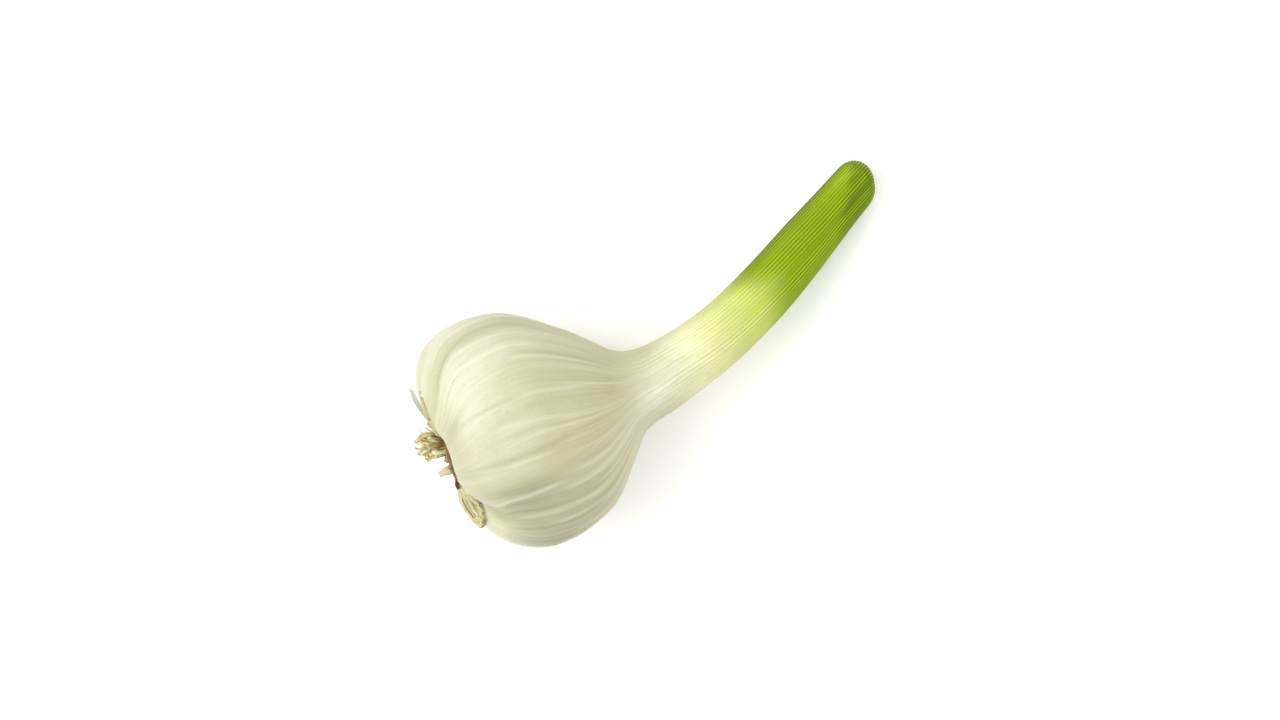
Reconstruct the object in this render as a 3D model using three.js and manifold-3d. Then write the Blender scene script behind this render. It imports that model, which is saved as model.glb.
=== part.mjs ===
// A fresh garlic bulb with its cut green stalk, lying on its side.
//
// Units are millimetres and +Z is up. The origin is on the surface that the bulb lies on, in the middle of
// the small flat spot under its belly. +X runs from the roots towards the stalk. The stalk bends towards
// +Y and sinks until the underside of its cut end touches the surface too.
//
// bulb_and_stalk  the skins that wrap the cloves and run on, in one grown piece, as the neck and the stalk
// root_plate      the corky disc at the root end with the dried, trimmed roots that grow from it
// torn_skin       what is left of a dry outer skin, torn off in flaps around the root plate
//
// A bearing is an angle round the bulb's centre line in degrees: 0 is up and 90 is towards +Y. "Height" is
// the distance along the centre line from the root end, and "radius" the distance from it. A meridian is a
// line that the skin's grooves, pleats and ribs follow, named by its bearing at the belly.

import * as THREE from "three";
import { mergeVertices } from "three/addons/utils/BufferGeometryUtils.js";
import Module from "manifold-3d";

// ---------------------------------------------------------------- driving dimensions

const AROUND = 96; // facets round the skin

// The centre line from the middle of the root end to past the cut end of the stalk.
const CENTRE_LINE = [
  [-16.0, 0.0, 27.3],
  [1.0, 0.0, 25.2],
  [18.0, -1.6, 22.8],
  [34.0, -3.5, 20.2],
  [42.6, -3.2, 18.6],
  [55.6, -0.7, 16.0],
  [69.6, 4.1, 12.6],
  [86.2, 11.5, 7.6],
  [102.0, 18.8, 1.9],
];

// [radius, height]: the hollow that the root plate sits in, the clove shoulders, the belly and the neck.
const BULB_PROFILE = [
  [0.0, 2.2],
  [6.9, 2.2],
  [8.6, 1.2],
  [10.6, 0.2],
  [13.4, -0.35],
  [17.0, 0.05],
  [20.3, 1.2],
  [24.5, 3.9],
  [27.5, 7.8],
  [29.2, 12.4],
  [29.5, 17.4],
  [28.3, 24.0],
  [25.3, 30.4],
  [21.0, 36.6],
  [15.4, 42.2],
  [10.8, 46.6],
  [9.2, 50.6],
  [8.65, 55.0],
];
// [radius, height] of the stalk from the neck to its cut end.
const STALK_PROFILE = [
  [8.15, 60.0],
  [7.85, 66.0],
  [7.55, 73.0],
  [7.35, 80.0],
  [7.2, 87.0],
  [7.0, 95.0],
  [6.7, 103.0],
  [6.35, 109.0],
  [6.05, 114.0],
  [5.85, 118.5],
  [5.65, 122.3],
];
const STALK_END = STALK_PROFILE.at(-1)[1];

// The leaf sheaths nested in the stalk, as rings on its cut end: outer and inner radius of each.
const SHEATHS = [
  [5.6, 4.5],
  [4.1, 3.0],
  [2.6, 0.0],
];
const SHEATH_WALL_LEAN = 0.08; // how far the wall of a gap between two sheaths leans
const PITH_DIP = 0.3;
const OUTER_SHEATH = [4.5, 5.5]; // radii between which what shapes the stalk's outside takes hold
const SHEATH_GAP_DEPTH = 0.9;
const SHEATH_SHIFT = 0.3; // each sheath is thicker on one side than on the other, by turns
const CUT_SLANT = 0.8; // the cut leans back under the stalk: height gained per mm upwards
const CUT_BLEND = 14; // length of stalk over which the lean fades in
const CREASE = { at: -35, width: 15, depth: 0.55, from: [102, 114], to: [114, 122], left: 0.2 };
const FLARE = { at: -80, width: 30, height: 0.2, length: 5 };

// What the cloves do to the root end. Each starts at the bearing "from", where the form is drawn in by
// "draw" over the angle "spread". It reaches past the straight form by "rim" where it meets the hollow of
// the root plate, and by "reach" on its shoulder.
const CLOVE_ENDS = [
  { from: -46, draw: 0.5, spread: 11, rim: -0.1, reach: 0.4 },
  { from: 10, draw: 2.2, spread: 27, rim: -0.5, reach: 0.1 },
  { from: 66, draw: 0.9, spread: 11, rim: -0.4, reach: 0.5 },
  { from: 112, draw: 0.7, spread: 11, rim: -0.3, reach: 0.4 },
  { from: 160, draw: 0.6, spread: 11, rim: -0.2, reach: 0.4 },
  { from: 210, draw: 0.8, spread: 11, rim: -0.3, reach: 0.2 },
  { from: 262, draw: 0.9, spread: 11, rim: -2.6, reach: 0.0 },
];
const FAN_HOLLOW = { at: -44, width: 21, depth: 2.5, radii: [10, 16] }; // where the straight roots lie
// The cloves round the belly: the meridian and depth of the groove that each starts with, and its swell.
const GROOVES = [
  { from: -48.5, depth: 1.7, swell: 0.45 },
  { from: 69, depth: 1.2, swell: 0.4 },
  { from: 122, depth: 1.3, swell: 0.6 },
  { from: 160, depth: 1.2, swell: 0.6 },
  { from: 200, depth: 1.4, swell: 0.7 },
  { from: 245, depth: 1.6, swell: 0.25 },
];
const RIM_TO_SHOULDER = [11, 20]; // radii between which "rim" gives way to "reach"
const GROOVE_WIDTH = 9.5;

// The meridians don't keep to one bearing. They draw together towards a spot on the upper side of the
// root end (less so near the hollow, and more on the +Y side), and wind slowly round the stalk.
const SWING = { angle: 22, centre: -20, heights: [-6, 34] };
const RIM_SWING = { angle: 6, radii: [8, 22] };
const SIDE_SWINGS = [
  { angle: 15, at: 72, width: 28, heights: [3, 13] },
  { angle: 9, at: -48, width: 18, heights: [2, 12] },
];
const TWIST = { perHeight: 0.46, from: 58, span: [50, 70] };

// Each kind of relief grows over a span of radius outwards from the root end, and dies out over a span of
// height towards the neck.
const GROOVE_SPANS = { radius: [8, 15], height: [18, 48], left: 0.08 };
const PLEAT_SPANS = { radius: [9, 22], height: [36, 50], left: 0.4 };
const SWELL_SPANS = { radius: [12, 24], height: [20, 44], left: 0 };
const ROOT_END_SPANS = { radius: [7, 11], height: [2.5, 12], left: 0 };

// Pleats that stand up (+) or are pressed in (-): meridian, height, width.
const PLEATS = [
  [58, 0.2, 4],
  [48, 0.42, 4],
  [33, 0.3, 5],
  [19, 0.2, 3.5],
  [-10, -0.26, 3.5],
  [-33, 0.42, 3.5],
  [-60, 0.32, 3.5],
  [-70, 0.28, 3.5],
  [-82, 0.3, 4],
  [-93, -0.2, 4],
  [-108, 0.34, 4],
  [-124, -0.25, 4],
  [-138, 0.32, 4],
  [-148, -0.2, 4],
  [-178, 0.24, 5],
  [172, -0.2, 4],
  [146, 0.36, 4],
  [134, -0.22, 4],
  [104, 0.34, 4],
  [94, -0.24, 4],
  [82, 0.26, 4],
];
const STALK_RIBS = { count: 48, height: 0.1, from: 44, full: 62 };

const FLATNESS = { ratio: 0.9, from: 25, to: 50 }; // the bulb's thickness up and down against its width
const BELLY_LEAN = { at: 37, length: 11, shift: -2.1 }; // the belly is fuller on the -Y side near the neck
const ROOT_LEAN = { at: 3, length: 10, shift: 0.5 };
const ROOT_TILT = { slope: 0.16, radius: [7, 13] }; // the root plate's lean: height gained per mm towards +Y

const PLATE_PROFILE = [
  [0.0, 0.2],
  [2.6, -0.15],
  [4.6, -0.1],
  [5.8, 0.1],
  [6.3, 0.6],
  [6.3, 1.2],
  [6.0, 1.7],
  [0.0, 1.7],
];
const PLATE_FACETS = 32;
const PLATE_LUMPS = 0.22;
const ROOT_SIDES = 5;
const ROOT_STEPS = 5;
const ROOT_TAPER = { foot: 0.55, tip: 0.3 }; // a root's radius at its ends, per mm of thickness
const ROOT_SINK = 0.7; // height inside the plate at which every root starts

// Roots: [angle and radius at the plate, angle, radius and height at the tip, bow, thickness].
// The bow lifts the middle of the root away from the bulb.
const ROOTS = [
  // the curled tuft on the +Y side
  [52, 4.8, 56, 9.4, -3.4, 1.6, 1.2],
  [60, 5.4, 66, 8.4, -2.2, 0.6, 1.4],
  [64, 4.4, 76, 9.0, -4.6, -1.2, 1.3],
  [76, 5.0, 86, 9.0, -4.6, 1.2, 1.2],
  [86, 3.6, 62, 5.8, -5.5, -1.0, 1.4],
  [96, 5.0, 98, 7.6, -5.3, 0.8, 1.2],
  [104, 4.0, 86, 5.2, -5.4, 1.2, 1.3],
  [70, 2.8, 50, 3.6, -5.0, -0.8, 1.4],
  [118, 4.6, 124, 8.0, -3.6, 1.0, 1.2],
  [84, 5.2, 72, 7.4, -5.6, 2.2, 1.1],
  [60, 3.6, 38, 5.2, -3.0, 1.2, 1.2],
  [92, 4.4, 90, 11.0, -3.4, 1.4, 1.0],
  [106, 5.2, 76, 6.8, -3.8, 2.6, 1.2],
  [80, 5.6, 75, 8.8, -5.3, -6.0, 1.1],
  [98, 5.6, 80, 9.0, -3.0, -3.2, 1.1],
  // one short root in the middle
  [-66, 3.6, -52, 3.0, -3.9, -0.4, 1.6],
  // the straight fan pressed against the root end on the -Y side
  [-84, 5.6, -79, 18.2, -0.2, 3.4, 1.1],
  [-80, 5.8, -74, 18.6, 0.2, 2.9, 1.1],
  [-76, 5.8, -70, 19.0, 0.6, 2.2, 1.1],
  [-72, 5.9, -66, 19.3, 1.1, 1.5, 1.1],
  [-68, 5.9, -61, 19.6, 1.7, 0.9, 1.1],
  [-64, 5.9, -57, 19.8, 2.2, 0.6, 1.0],
];
// The roots trimmed off short, all over the rest of the plate.
const STUBS = { count: 26, seed: 11, radius: [1.4, 5.2], reach: [0.7, 1.3], thickness: [0.9, 1.4] };

// The torn skin lies over the clove shoulders, except where the straight roots lie, and ends in flaps:
// middle angle, reach, half width, curl.
const SKIN_ARC = [-26, 262];
const SKIN_ARC_END = 15; // angle over which it narrows towards its ends
const SKIN_START = 7.4;
const SKIN_HEM = 10.2;
const SKIN_THICKNESS = 0.6;
const SKIN_GAP = 0.45;
const FLAPS = [
  { at: 92, reach: 20.6, half: 16, curl: 1.5 },
  { at: 134, reach: 15.0, half: 13, curl: 0.5 },
  { at: 181, reach: 17.5, half: 17, curl: 0.4 },
  { at: 232, reach: 14.0, half: 13, curl: 0.5 },
  { at: 22, reach: 11.4, half: 12, curl: 0.1 },
];
const CURL_LENGTH = 12; // distance from the plate at which a flap has lifted by its curl
const SKIN_STEPS = 7;
const SKIN_ALONG = 80;
const TEAR_RIPPLE = 0.5;

// ---------------------------------------------------------------- small maths

const { cos, sin, abs, exp, hypot, atan2, max, min, PI } = Math;
const { degToRad: rad, radToDeg: deg, smoothstep: smooth } = THREE.MathUtils;

// The angle from b to a, between -180 and 180.
const turn = (a, b) => THREE.MathUtils.euclideanModulo(a - b + 180, 360) - 180;
const bell = (x, width) => exp(-((x / width) ** 2));

// How much of a relief there is at a radius and a height.
const share = (spans, radius, height) =>
  smooth(radius, ...spans.radius) * (1 - (1 - spans.left) * smooth(height, ...spans.height));

// A repeatable stream of numbers between 0 and 1.
function draws(seed) {
  let state = seed;
  return () => {
    state = (state * 16807) % 2147483647;
    return state / 2147483647;
  };
}

// ---------------------------------------------------------------- the warp from straight to grown

const centreLine = new THREE.CatmullRomCurve3(
  CENTRE_LINE.map((p) => new THREE.Vector3(...p)),
  false,
  "catmullrom",
  0.5,
);
centreLine.arcLengthDivisions = 600;
const LINE_LENGTH = centreLine.getLength();
const UP = new THREE.Vector3(0, 0, 1);

// The point on the centre line at a height, with the directions along it, to +Y and up. It runs on
// straight past both of its ends.
function station(height) {
  const inside = min(max(height, 0), LINE_LENGTH);
  const along = centreLine.getTangentAt(inside / LINE_LENGTH);
  const point = centreLine.getPointAt(inside / LINE_LENGTH).addScaledVector(along, height - inside);
  const side = new THREE.Vector3().crossVectors(UP, along).normalize();
  const up = new THREE.Vector3().crossVectors(along, side);
  return { point, side, up };
}

// Where a straight (radius, height, bearing) ends up on the bent centre line.
function place(radius, height, bearing) {
  const { point, side, up } = station(height);
  const flatness = FLATNESS.ratio + (1 - FLATNESS.ratio) * smooth(height, FLATNESS.from, FLATNESS.to);
  const lean =
    BELLY_LEAN.shift * bell(height - BELLY_LEAN.at, BELLY_LEAN.length) +
    ROOT_LEAN.shift * bell(height - ROOT_LEAN.at, ROOT_LEAN.length);
  return point
    .addScaledVector(up, radius * cos(rad(bearing)) * flatness)
    .addScaledVector(side, radius * sin(rad(bearing)) + lean);
}

// How far a meridian has strayed from its bearing at the belly.
function swing(meridian, radius, height) {
  const pull = SWING.angle * (1 - smooth(height, ...SWING.heights));
  const rimPull = RIM_SWING.angle * (1 - smooth(radius, ...RIM_SWING.radii));
  const side = SIDE_SWINGS.reduce(
    (sum, s) => sum + s.angle * bell(turn(meridian, s.at), s.width) * (1 - smooth(height, ...s.heights)),
    0,
  );
  const twist = TWIST.perHeight * (height - TWIST.from) * smooth(height, ...TWIST.span);
  return (pull + rimPull) * sin(rad(meridian - SWING.centre)) + side + twist;
}

// The meridian that passes at a bearing.
function meridianAt(bearing, radius, height) {
  let meridian = bearing;
  for (let i = 0; i < 40; i++) meridian = bearing + swing(meridian, radius, height);
  return meridian;
}

const grooveDepth = (meridian) =>
  GROOVES.reduce(
    (sum, g) => sum + g.depth * exp(-((abs(turn(meridian, g.from)) / GROOVE_WIDTH) ** 1.3)),
    0,
  );

const pleatHeight = (meridian) =>
  PLEATS.reduce((sum, [at, height, width]) => sum + height * bell(turn(meridian, at), width), 0);

// 0 where one clove meets the next and 1 in its middle, for the clove number i of a list.
function crown(angle, cloves, i) {
  const [start, end] = [cloves[i].from, cloves[(i + 1) % cloves.length].from];
  const half = THREE.MathUtils.euclideanModulo(end - start, 360) / 2;
  return max(0, 1 - (turn(angle, start + half) / half) ** 2);
}

const cloveSwell = (meridian) =>
  GROOVES.reduce((sum, { swell }, i) => sum + swell * crown(meridian, GROOVES, i), 0);

// How far the root end is drawn in at a radius, height and bearing.
function rootEndShift(radius, height, bearing) {
  const shoulder = smooth(radius, ...RIM_TO_SHOULDER);
  const cloves = CLOVE_ENDS.reduce((sum, { from, draw, spread, rim, reach }, i) => {
    const onClove = crown(bearing, CLOVE_ENDS, i);
    const reached = rim * smooth(onClove, 0, 0.5) * (1 - shoulder) + reach * onClove ** 0.7 * shoulder;
    return sum + draw * bell(turn(bearing, from), spread) - reached;
  }, 0);
  const pressed = FAN_HOLLOW.depth * bell(turn(bearing, FAN_HOLLOW.at), FAN_HOLLOW.width);
  const hollow = pressed * smooth(radius, ...FAN_HOLLOW.radii);
  const tilt = ROOT_TILT.slope * radius * sin(rad(bearing)) * (1 - smooth(radius, ...ROOT_TILT.radius));
  return (cloves + hollow) * share(ROOT_END_SPANS, radius, height) + tilt;
}

// The radius, height and bearing of the skin on a meridian, from the straight lathed form.
function skinForm([radius, height], meridian) {
  const bearing = meridian - swing(meridian, radius, height);
  const groove = grooveDepth(meridian) * share(GROOVE_SPANS, radius, height);
  const pleat = pleatHeight(meridian) * share(PLEAT_SPANS, radius, height);
  const swell = cloveSwell(meridian) * share(SWELL_SPANS, radius, height);
  const ribbed = smooth(height, STALK_RIBS.from, STALK_RIBS.full);
  const rib = STALK_RIBS.height * cos(rad(STALK_RIBS.count * meridian)) * ribbed;
  const fade = smooth(height, ...CREASE.from) * (1 - (1 - CREASE.left) * smooth(height, ...CREASE.to));
  const crease = CREASE.depth * bell(turn(bearing, CREASE.at), CREASE.width) * fade;
  const flared = smooth(height, STALK_END - FLARE.length, STALK_END);
  const flare = FLARE.height * bell(turn(bearing, FLARE.at), FLARE.width) * flared;
  return [
    radius - groove + pleat + swell + (rib + flare - crease) * smooth(radius, ...OUTER_SHEATH),
    height + rootEndShift(radius, height, bearing),
    bearing,
  ];
}

// A point of the skin in its final place.
function skinPoint(radius, height, meridian) {
  const [r, h, bearing] = skinForm([radius, height], meridian);
  const slant = CUT_SLANT * smooth(height, STALK_END - CUT_BLEND, STALK_END) * r * cos(rad(bearing));
  const p = place(r, h + slant, bearing);
  const onCut = height >= STALK_END - SHEATH_GAP_DEPTH ? 1 - smooth(radius, ...OUTER_SHEATH) : 0;
  p.y += SHEATH_SHIFT * sin((PI * radius) / 1.5) * smooth(radius, 0, 1.5) * onCut;
  p.z = max(p.z, 0); // the flat spots that it rests on
  return p;
}

// ---------------------------------------------------------------- geometry helpers

// Moves each vertex of a geometry.
function moved(geometry, move) {
  const position = geometry.getAttribute("position");
  for (let i = 0; i < position.count; i++) {
    const p = move(position.getX(i), position.getY(i), position.getZ(i));
    position.setXYZ(i, p.x, p.y, p.z);
  }
  geometry.deleteAttribute("normal");
  geometry.deleteAttribute("uv");
  const merged = mergeVertices(geometry, 1e-3);
  merged.computeVertexNormals();
  return merged;
}

// Moves each vertex of a lathed geometry to warp(radius, height, angle).
const warped = (geometry, warp) =>
  moved(geometry, (x, height, z) => {
    const radius = hypot(x, z);
    return warp(radius, height, radius < 1e-6 ? 0 : deg(atan2(-x, z)));
  });

const lathe = (points, facets) =>
  new THREE.LatheGeometry(
    points.map(([radius, height]) => new THREE.Vector2(radius, height)),
    facets,
  );

// Points on a smooth curve through the given ones, so many to each stretch.
const throughPoints = (points, perStretch) =>
  new THREE.SplineCurve(points.map((p) => new THREE.Vector2(...p)))
    .getPoints((points.length - 1) * perStretch)
    .map((p) => [max(p.x, 0), p.y]);

const wasm = await Module();
wasm.setup();

function solidOf(geometry) {
  const bare = new THREE.BufferGeometry();
  bare.setAttribute("position", geometry.getAttribute("position"));
  bare.setIndex(geometry.getIndex());
  const merged = mergeVertices(bare, 1e-4);
  return new wasm.Manifold(
    new wasm.Mesh({
      numProp: 3,
      vertProperties: merged.getAttribute("position").array,
      triVerts: new Uint32Array(merged.getIndex().array),
    }),
  );
}

function geometryOf(solid) {
  const { vertProperties, triVerts } = solid.getMesh();
  const geometry = new THREE.BufferGeometry();
  geometry.setAttribute("position", new THREE.BufferAttribute(vertProperties, 3));
  geometry.setIndex(new THREE.BufferAttribute(triVerts, 1));
  geometry.computeVertexNormals();
  return geometry;
}

// ---------------------------------------------------------------- the skin: bulb, neck and stalk

function cutEndProfile() {
  const points = [];
  SHEATHS.forEach(([outer, inner], i) => {
    const gapFloor = STALK_END - SHEATH_GAP_DEPTH;
    if (i > 0) points.push([outer + SHEATH_WALL_LEAN, gapFloor], [outer, STALK_END]);
    if (inner > 0) points.push([inner, STALK_END], [inner - SHEATH_WALL_LEAN, gapFloor]);
    else points.push([0, STALK_END - PITH_DIP]);
  });
  return points;
}

const bulbLine = throughPoints(BULB_PROFILE.slice(1), 2);
const rootEndLine = bulbLine.filter(([, height]) => height < 8);

function bulbAndStalk() {
  const profile = [BULB_PROFILE[0], ...bulbLine, ...STALK_PROFILE, ...cutEndProfile()];
  return warped(lathe(profile, AROUND), skinPoint);
}

// ---------------------------------------------------------------- the root plate with its roots

// A root from the plate to its tip, as a tapering tube bent along a curve.
function root([angle, radius, tipAngle, tipRadius, tipHeight, bow, thickness]) {
  const start = place(radius, ROOT_SINK + rootEndShift(radius, 0, angle), angle);
  const end = place(tipRadius, tipHeight, tipAngle);
  const middle = place((radius + tipRadius) / 2, tipHeight - bow, (angle + tipAngle) / 2);
  const curve = new THREE.QuadraticBezierCurve3(start, middle, end);
  const [foot, tip] = [thickness * ROOT_TAPER.foot, thickness * ROOT_TAPER.tip];
  const tube = new THREE.CylinderGeometry(tip, foot, 1, ROOT_SIDES, ROOT_STEPS);
  tube.translate(0, 0.5, 0);
  tube.deleteAttribute("normal");
  tube.deleteAttribute("uv");
  const position = tube.getAttribute("position");
  for (let i = 0; i < position.count; i++) {
    const t = position.getY(i);
    const along = curve.getTangent(t);
    const side = new THREE.Vector3().crossVectors(UP, along).normalize();
    const up = new THREE.Vector3().crossVectors(along, side);
    const p = curve.getPoint(t);
    p.addScaledVector(side, -position.getX(i)).addScaledVector(up, position.getZ(i));
    position.setXYZ(i, p.x, p.y, p.z);
  }
  return tube;
}

// Trimmed stubs spread over the plate in turns of the golden angle, each a little out of line.
function stubs({ count, seed, radius: [inner, outer], reach, thickness }) {
  const draw = draws(seed);
  const between = ([low, high]) => low + (high - low) * draw();
  return Array.from({ length: count }, (_, i) => {
    const angle = 137.5 * i + 16 * (draw() - 0.5);
    const radius = inner + (outer - inner) * ((i + 0.5) / count) ** 0.5;
    const out = between(reach);
    const tipAngle = angle + 24 * (draw() - 0.5);
    return [angle, radius, tipAngle, radius + out / 2, -0.3 - out, 0, between(thickness)];
  });
}

function rootPlate() {
  const lumpy = (radius, height, angle) => {
    const lump = PLATE_LUMPS * sin(rad(7 * angle) + height) * smooth(radius, 1, 6);
    return place(radius + lump, height + rootEndShift(radius, 0, angle), angle);
  };
  const plate = solidOf(warped(lathe(PLATE_PROFILE, PLATE_FACETS), lumpy));
  const roots = [...ROOTS, ...stubs(STUBS)].map((one) => solidOf(root(one)));
  return geometryOf(roots.reduce((sum, one) => sum.add(one), plate));
}

// ---------------------------------------------------------------- the torn skin

// Height of the bulb's root end at a radius and a bearing.
function rootEndHeight(radius, bearing) {
  const line = rootEndLine.map((point) => skinForm(point, meridianAt(bearing, ...point)));
  const i = max(1, line.findIndex(([r]) => r >= radius));
  const [[r0, h0], [r1, h1]] = [line[i - 1], line[i]];
  return h0 + ((h1 - h0) * (radius - r0)) / (r1 - r0);
}

// The torn edge's radius at an angle: a ragged hem, and the flaps that reach further out.
function tornEdge(angle) {
  const ripple = TEAR_RIPPLE * (sin(rad(11 * angle)) + 0.6 * sin(rad(23 * angle + 40)));
  const flap = FLAPS.reduce(
    (far, f) => max(far, (f.reach - SKIN_HEM) * max(0, 1 - (abs(turn(angle, f.at)) / f.half) ** 2) ** 0.6),
    0,
  );
  return SKIN_HEM + ripple + flap;
}

const skinCurl = (angle) =>
  FLAPS.reduce((sum, { at, half, curl }) => sum + curl * bell(turn(angle, at), half * 1.4), 0.2);

// A flat strip bent round the plate. It runs from 0 to 1 along the arc and from 0 at the plate to 1 at the
// torn edge, and depth is 0 on the side of the bulb and -1 on the outside.
function tornSkin() {
  const strip = new THREE.BoxGeometry(1, 1, 1, SKIN_STEPS, 1, SKIN_ALONG).translate(0.5, -0.5, 0.5);
  return moved(strip, (across, depth, along) => {
    const angle = SKIN_ARC[0] + (SKIN_ARC[1] - SKIN_ARC[0]) * along;
    const fromEnd = min(angle - SKIN_ARC[0], SKIN_ARC[1] - angle);
    const width = (tornEdge(angle) - SKIN_START) * (0.3 + 0.7 * smooth(fromEnd, 0, SKIN_ARC_END));
    const r = SKIN_START + width * across;
    const lift = skinCurl(angle) * max(0, (r - SKIN_START) / CURL_LENGTH) ** 1.2;
    return place(r, rootEndHeight(r, angle) - SKIN_GAP - lift + depth * SKIN_THICKNESS, angle);
  });
}

// ---------------------------------------------------------------- materials and meshes

const skin = new THREE.MeshStandardMaterial({ color: 0xe6e4c8, roughness: 0.45, metalness: 0 });
const dryRoot = new THREE.MeshStandardMaterial({ color: 0xb79a5b, roughness: 0.9, metalness: 0 });
const drySkin = new THREE.MeshStandardMaterial({ color: 0xe0d6b8, roughness: 0.7, metalness: 0 });

function piece(name, geometry, material) {
  const mesh = new THREE.Mesh(geometry, material);
  mesh.name = name;
  return mesh;
}

const garlic = new THREE.Group();
garlic.name = "garlic_bulb";
garlic.add(piece("bulb_and_stalk", bulbAndStalk(), skin));
garlic.add(piece("root_plate", rootPlate(), dryRoot));
garlic.add(piece("torn_skin", tornSkin(), drySkin));

export default garlic;
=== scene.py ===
# A fresh garlic bulb with its cut green stalk, lying on its side on a pale surface.
#
# Lengths are in millimetres until a piece becomes an object, and +Z is up. A bearing is an angle round
# the bulb's centre line in degrees: 0 is up and 90 is towards +Y. "Height" is the distance along the
# centre line from the root end, and "radius" the distance from it. A meridian is a line that the skin's
# grooves, veins and stripes follow, named by its bearing at the belly. Each piece is turned on a straight
# axis first, and then warped onto the bent centre line.

from math import cos, pi, radians, sin, tau

import bmesh
import bpy
import numpy as np
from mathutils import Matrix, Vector


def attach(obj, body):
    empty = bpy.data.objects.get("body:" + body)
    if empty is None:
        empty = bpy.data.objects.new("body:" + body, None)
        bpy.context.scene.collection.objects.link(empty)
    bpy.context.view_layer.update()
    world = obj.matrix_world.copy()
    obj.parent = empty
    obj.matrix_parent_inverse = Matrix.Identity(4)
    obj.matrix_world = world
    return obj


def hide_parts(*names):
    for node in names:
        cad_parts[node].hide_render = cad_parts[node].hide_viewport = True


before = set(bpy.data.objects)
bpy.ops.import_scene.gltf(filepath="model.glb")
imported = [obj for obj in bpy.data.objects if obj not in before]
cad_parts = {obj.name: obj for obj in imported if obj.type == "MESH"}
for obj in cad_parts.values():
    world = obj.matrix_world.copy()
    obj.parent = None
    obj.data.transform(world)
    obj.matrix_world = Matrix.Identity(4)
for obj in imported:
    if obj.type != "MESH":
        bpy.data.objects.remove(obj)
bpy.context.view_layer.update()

MM = 0.001


# ------------------------------------------------------------------ small maths


def smooth(x, low, high):
    """0 below low, 1 above high, and an even rise between them."""
    t = np.clip((x - low) / (high - low), 0, 1)
    return t * t * (3 - 2 * t)


def bell(x, width):
    """1 where x is 0, falling away to both sides."""
    return np.exp(-((x / width) ** 2))


def turn(angle, other):
    """The angle from other to angle, between -180 and 180."""
    return (angle - other + 180) % 360 - 180


def cosine(angle):
    return np.cos(np.radians(angle))


def sine(angle):
    return np.sin(np.radians(angle))


def unit(vectors):
    """The same directions, each a length of 1."""
    return vectors / np.maximum(np.linalg.norm(vectors, axis=1), 1e-9)[:, None]


def spline(points, per_stretch, run_on=False):
    """Points on a smooth curve through the given ones. With run_on it leaves its ends straight."""
    p = np.array(points, float)
    first = 2 * p[0] - p[1] if run_on else p[0]
    last = 2 * p[-1] - p[-2] if run_on else p[-1]
    p = np.vstack([first, p, last])
    t = np.linspace(0, 1, per_stretch, endpoint=False)[:, None]
    stretches = []
    for a, b, c, d in zip(p, p[1:], p[2:], p[3:]):
        out, into = (c - a) / 2, (d - b) / 2
        cubic = 2 * b - 2 * c + out + into
        square = 3 * c - 3 * b - 2 * out - into
        stretches.append(((cubic * t + square) * t + out) * t + b)
    return np.vstack(stretches + [p[-2:-1]])


def run_length(points):
    """The distance along a line of points, at each of them."""
    steps = np.linalg.norm(np.diff(points, axis=0), axis=1)
    return np.concatenate([[0], np.cumsum(steps)])


def even(points, step):
    """The same line with its points an even step apart."""
    run = run_length(points)
    at = np.linspace(0, run[-1], max(2, int(round(run[-1] / step)) + 1))
    return np.column_stack([np.interp(at, run, column) for column in points.T])


# ------------------------------------------------------------------ the centre line

CENTRE_LINE = [
    (-16.0, 0.0, 27.3),
    (1.0, 0.0, 25.2),
    (18.0, -1.6, 22.8),
    (34.0, -3.5, 20.2),
    (42.6, -3.2, 18.6),
    (55.6, -0.7, 16.0),
    (69.6, 4.1, 12.6),
    (86.2, 11.5, 7.6),
    (102.0, 18.8, 1.9),
]
FLATNESS, FLAT_FROM, FLAT_TO = 0.9, 25, 50  # the bulb's thickness up and down against its width
BELLY_LEAN, BELLY_LEAN_AT, BELLY_LEAN_LENGTH = -2.1, 37, 11  # it is fuller on the -Y side,
ROOT_LEAN, ROOT_LEAN_AT, ROOT_LEAN_LENGTH = 0.5, 3, 10  # and at the root end on the +Y side

line = spline(CENTRE_LINE, 120, run_on=True)
line_run = run_length(line)
line_along = np.gradient(line, line_run, axis=0)


def place(radius, height, bearing):
    """Where a straight (radius, height, bearing) ends up on the bent centre line."""
    inside = np.clip(height, 0, line_run[-1])
    along = unit(np.column_stack([np.interp(inside, line_run, part) for part in line_along.T]))
    point = np.column_stack([np.interp(inside, line_run, part) for part in line.T])
    point += along * (height - inside)[:, None]
    side = unit(np.cross((0, 0, 1), along))
    up = np.cross(along, side)
    flatness = FLATNESS + (1 - FLATNESS) * smooth(height, FLAT_FROM, FLAT_TO)
    lean = BELLY_LEAN * bell(height - BELLY_LEAN_AT, BELLY_LEAN_LENGTH)
    lean = lean + ROOT_LEAN * bell(height - ROOT_LEAN_AT, ROOT_LEAN_LENGTH)
    point += up * (radius * cosine(bearing) * flatness)[:, None]
    point += side * (radius * sine(bearing) + lean)[:, None]
    return point


# ------------------------------------------------------------------ mesh helpers

GRAIN_RADIUS = 10


def spun(outline, around):
    """A mesh turned on the Z axis from an outline of (radius, height)."""
    mesh = bmesh.new()
    verts = [mesh.verts.new((radius, 0, height)) for radius, height in outline]
    edges = [mesh.edges.new(pair) for pair in zip(verts, verts[1:])]
    bmesh.ops.spin(
        mesh, geom=verts + edges, cent=(0, 0, 0), axis=(0, 0, 1), angle=tau, steps=around, use_merge=True
    )
    bmesh.ops.remove_doubles(mesh, verts=mesh.verts, dist=1e-5)
    return mesh


def points_of(mesh):
    """Where its vertices are, one row each."""
    mesh.verts.index_update()
    return np.array([vert.co for vert in mesh.verts])


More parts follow.
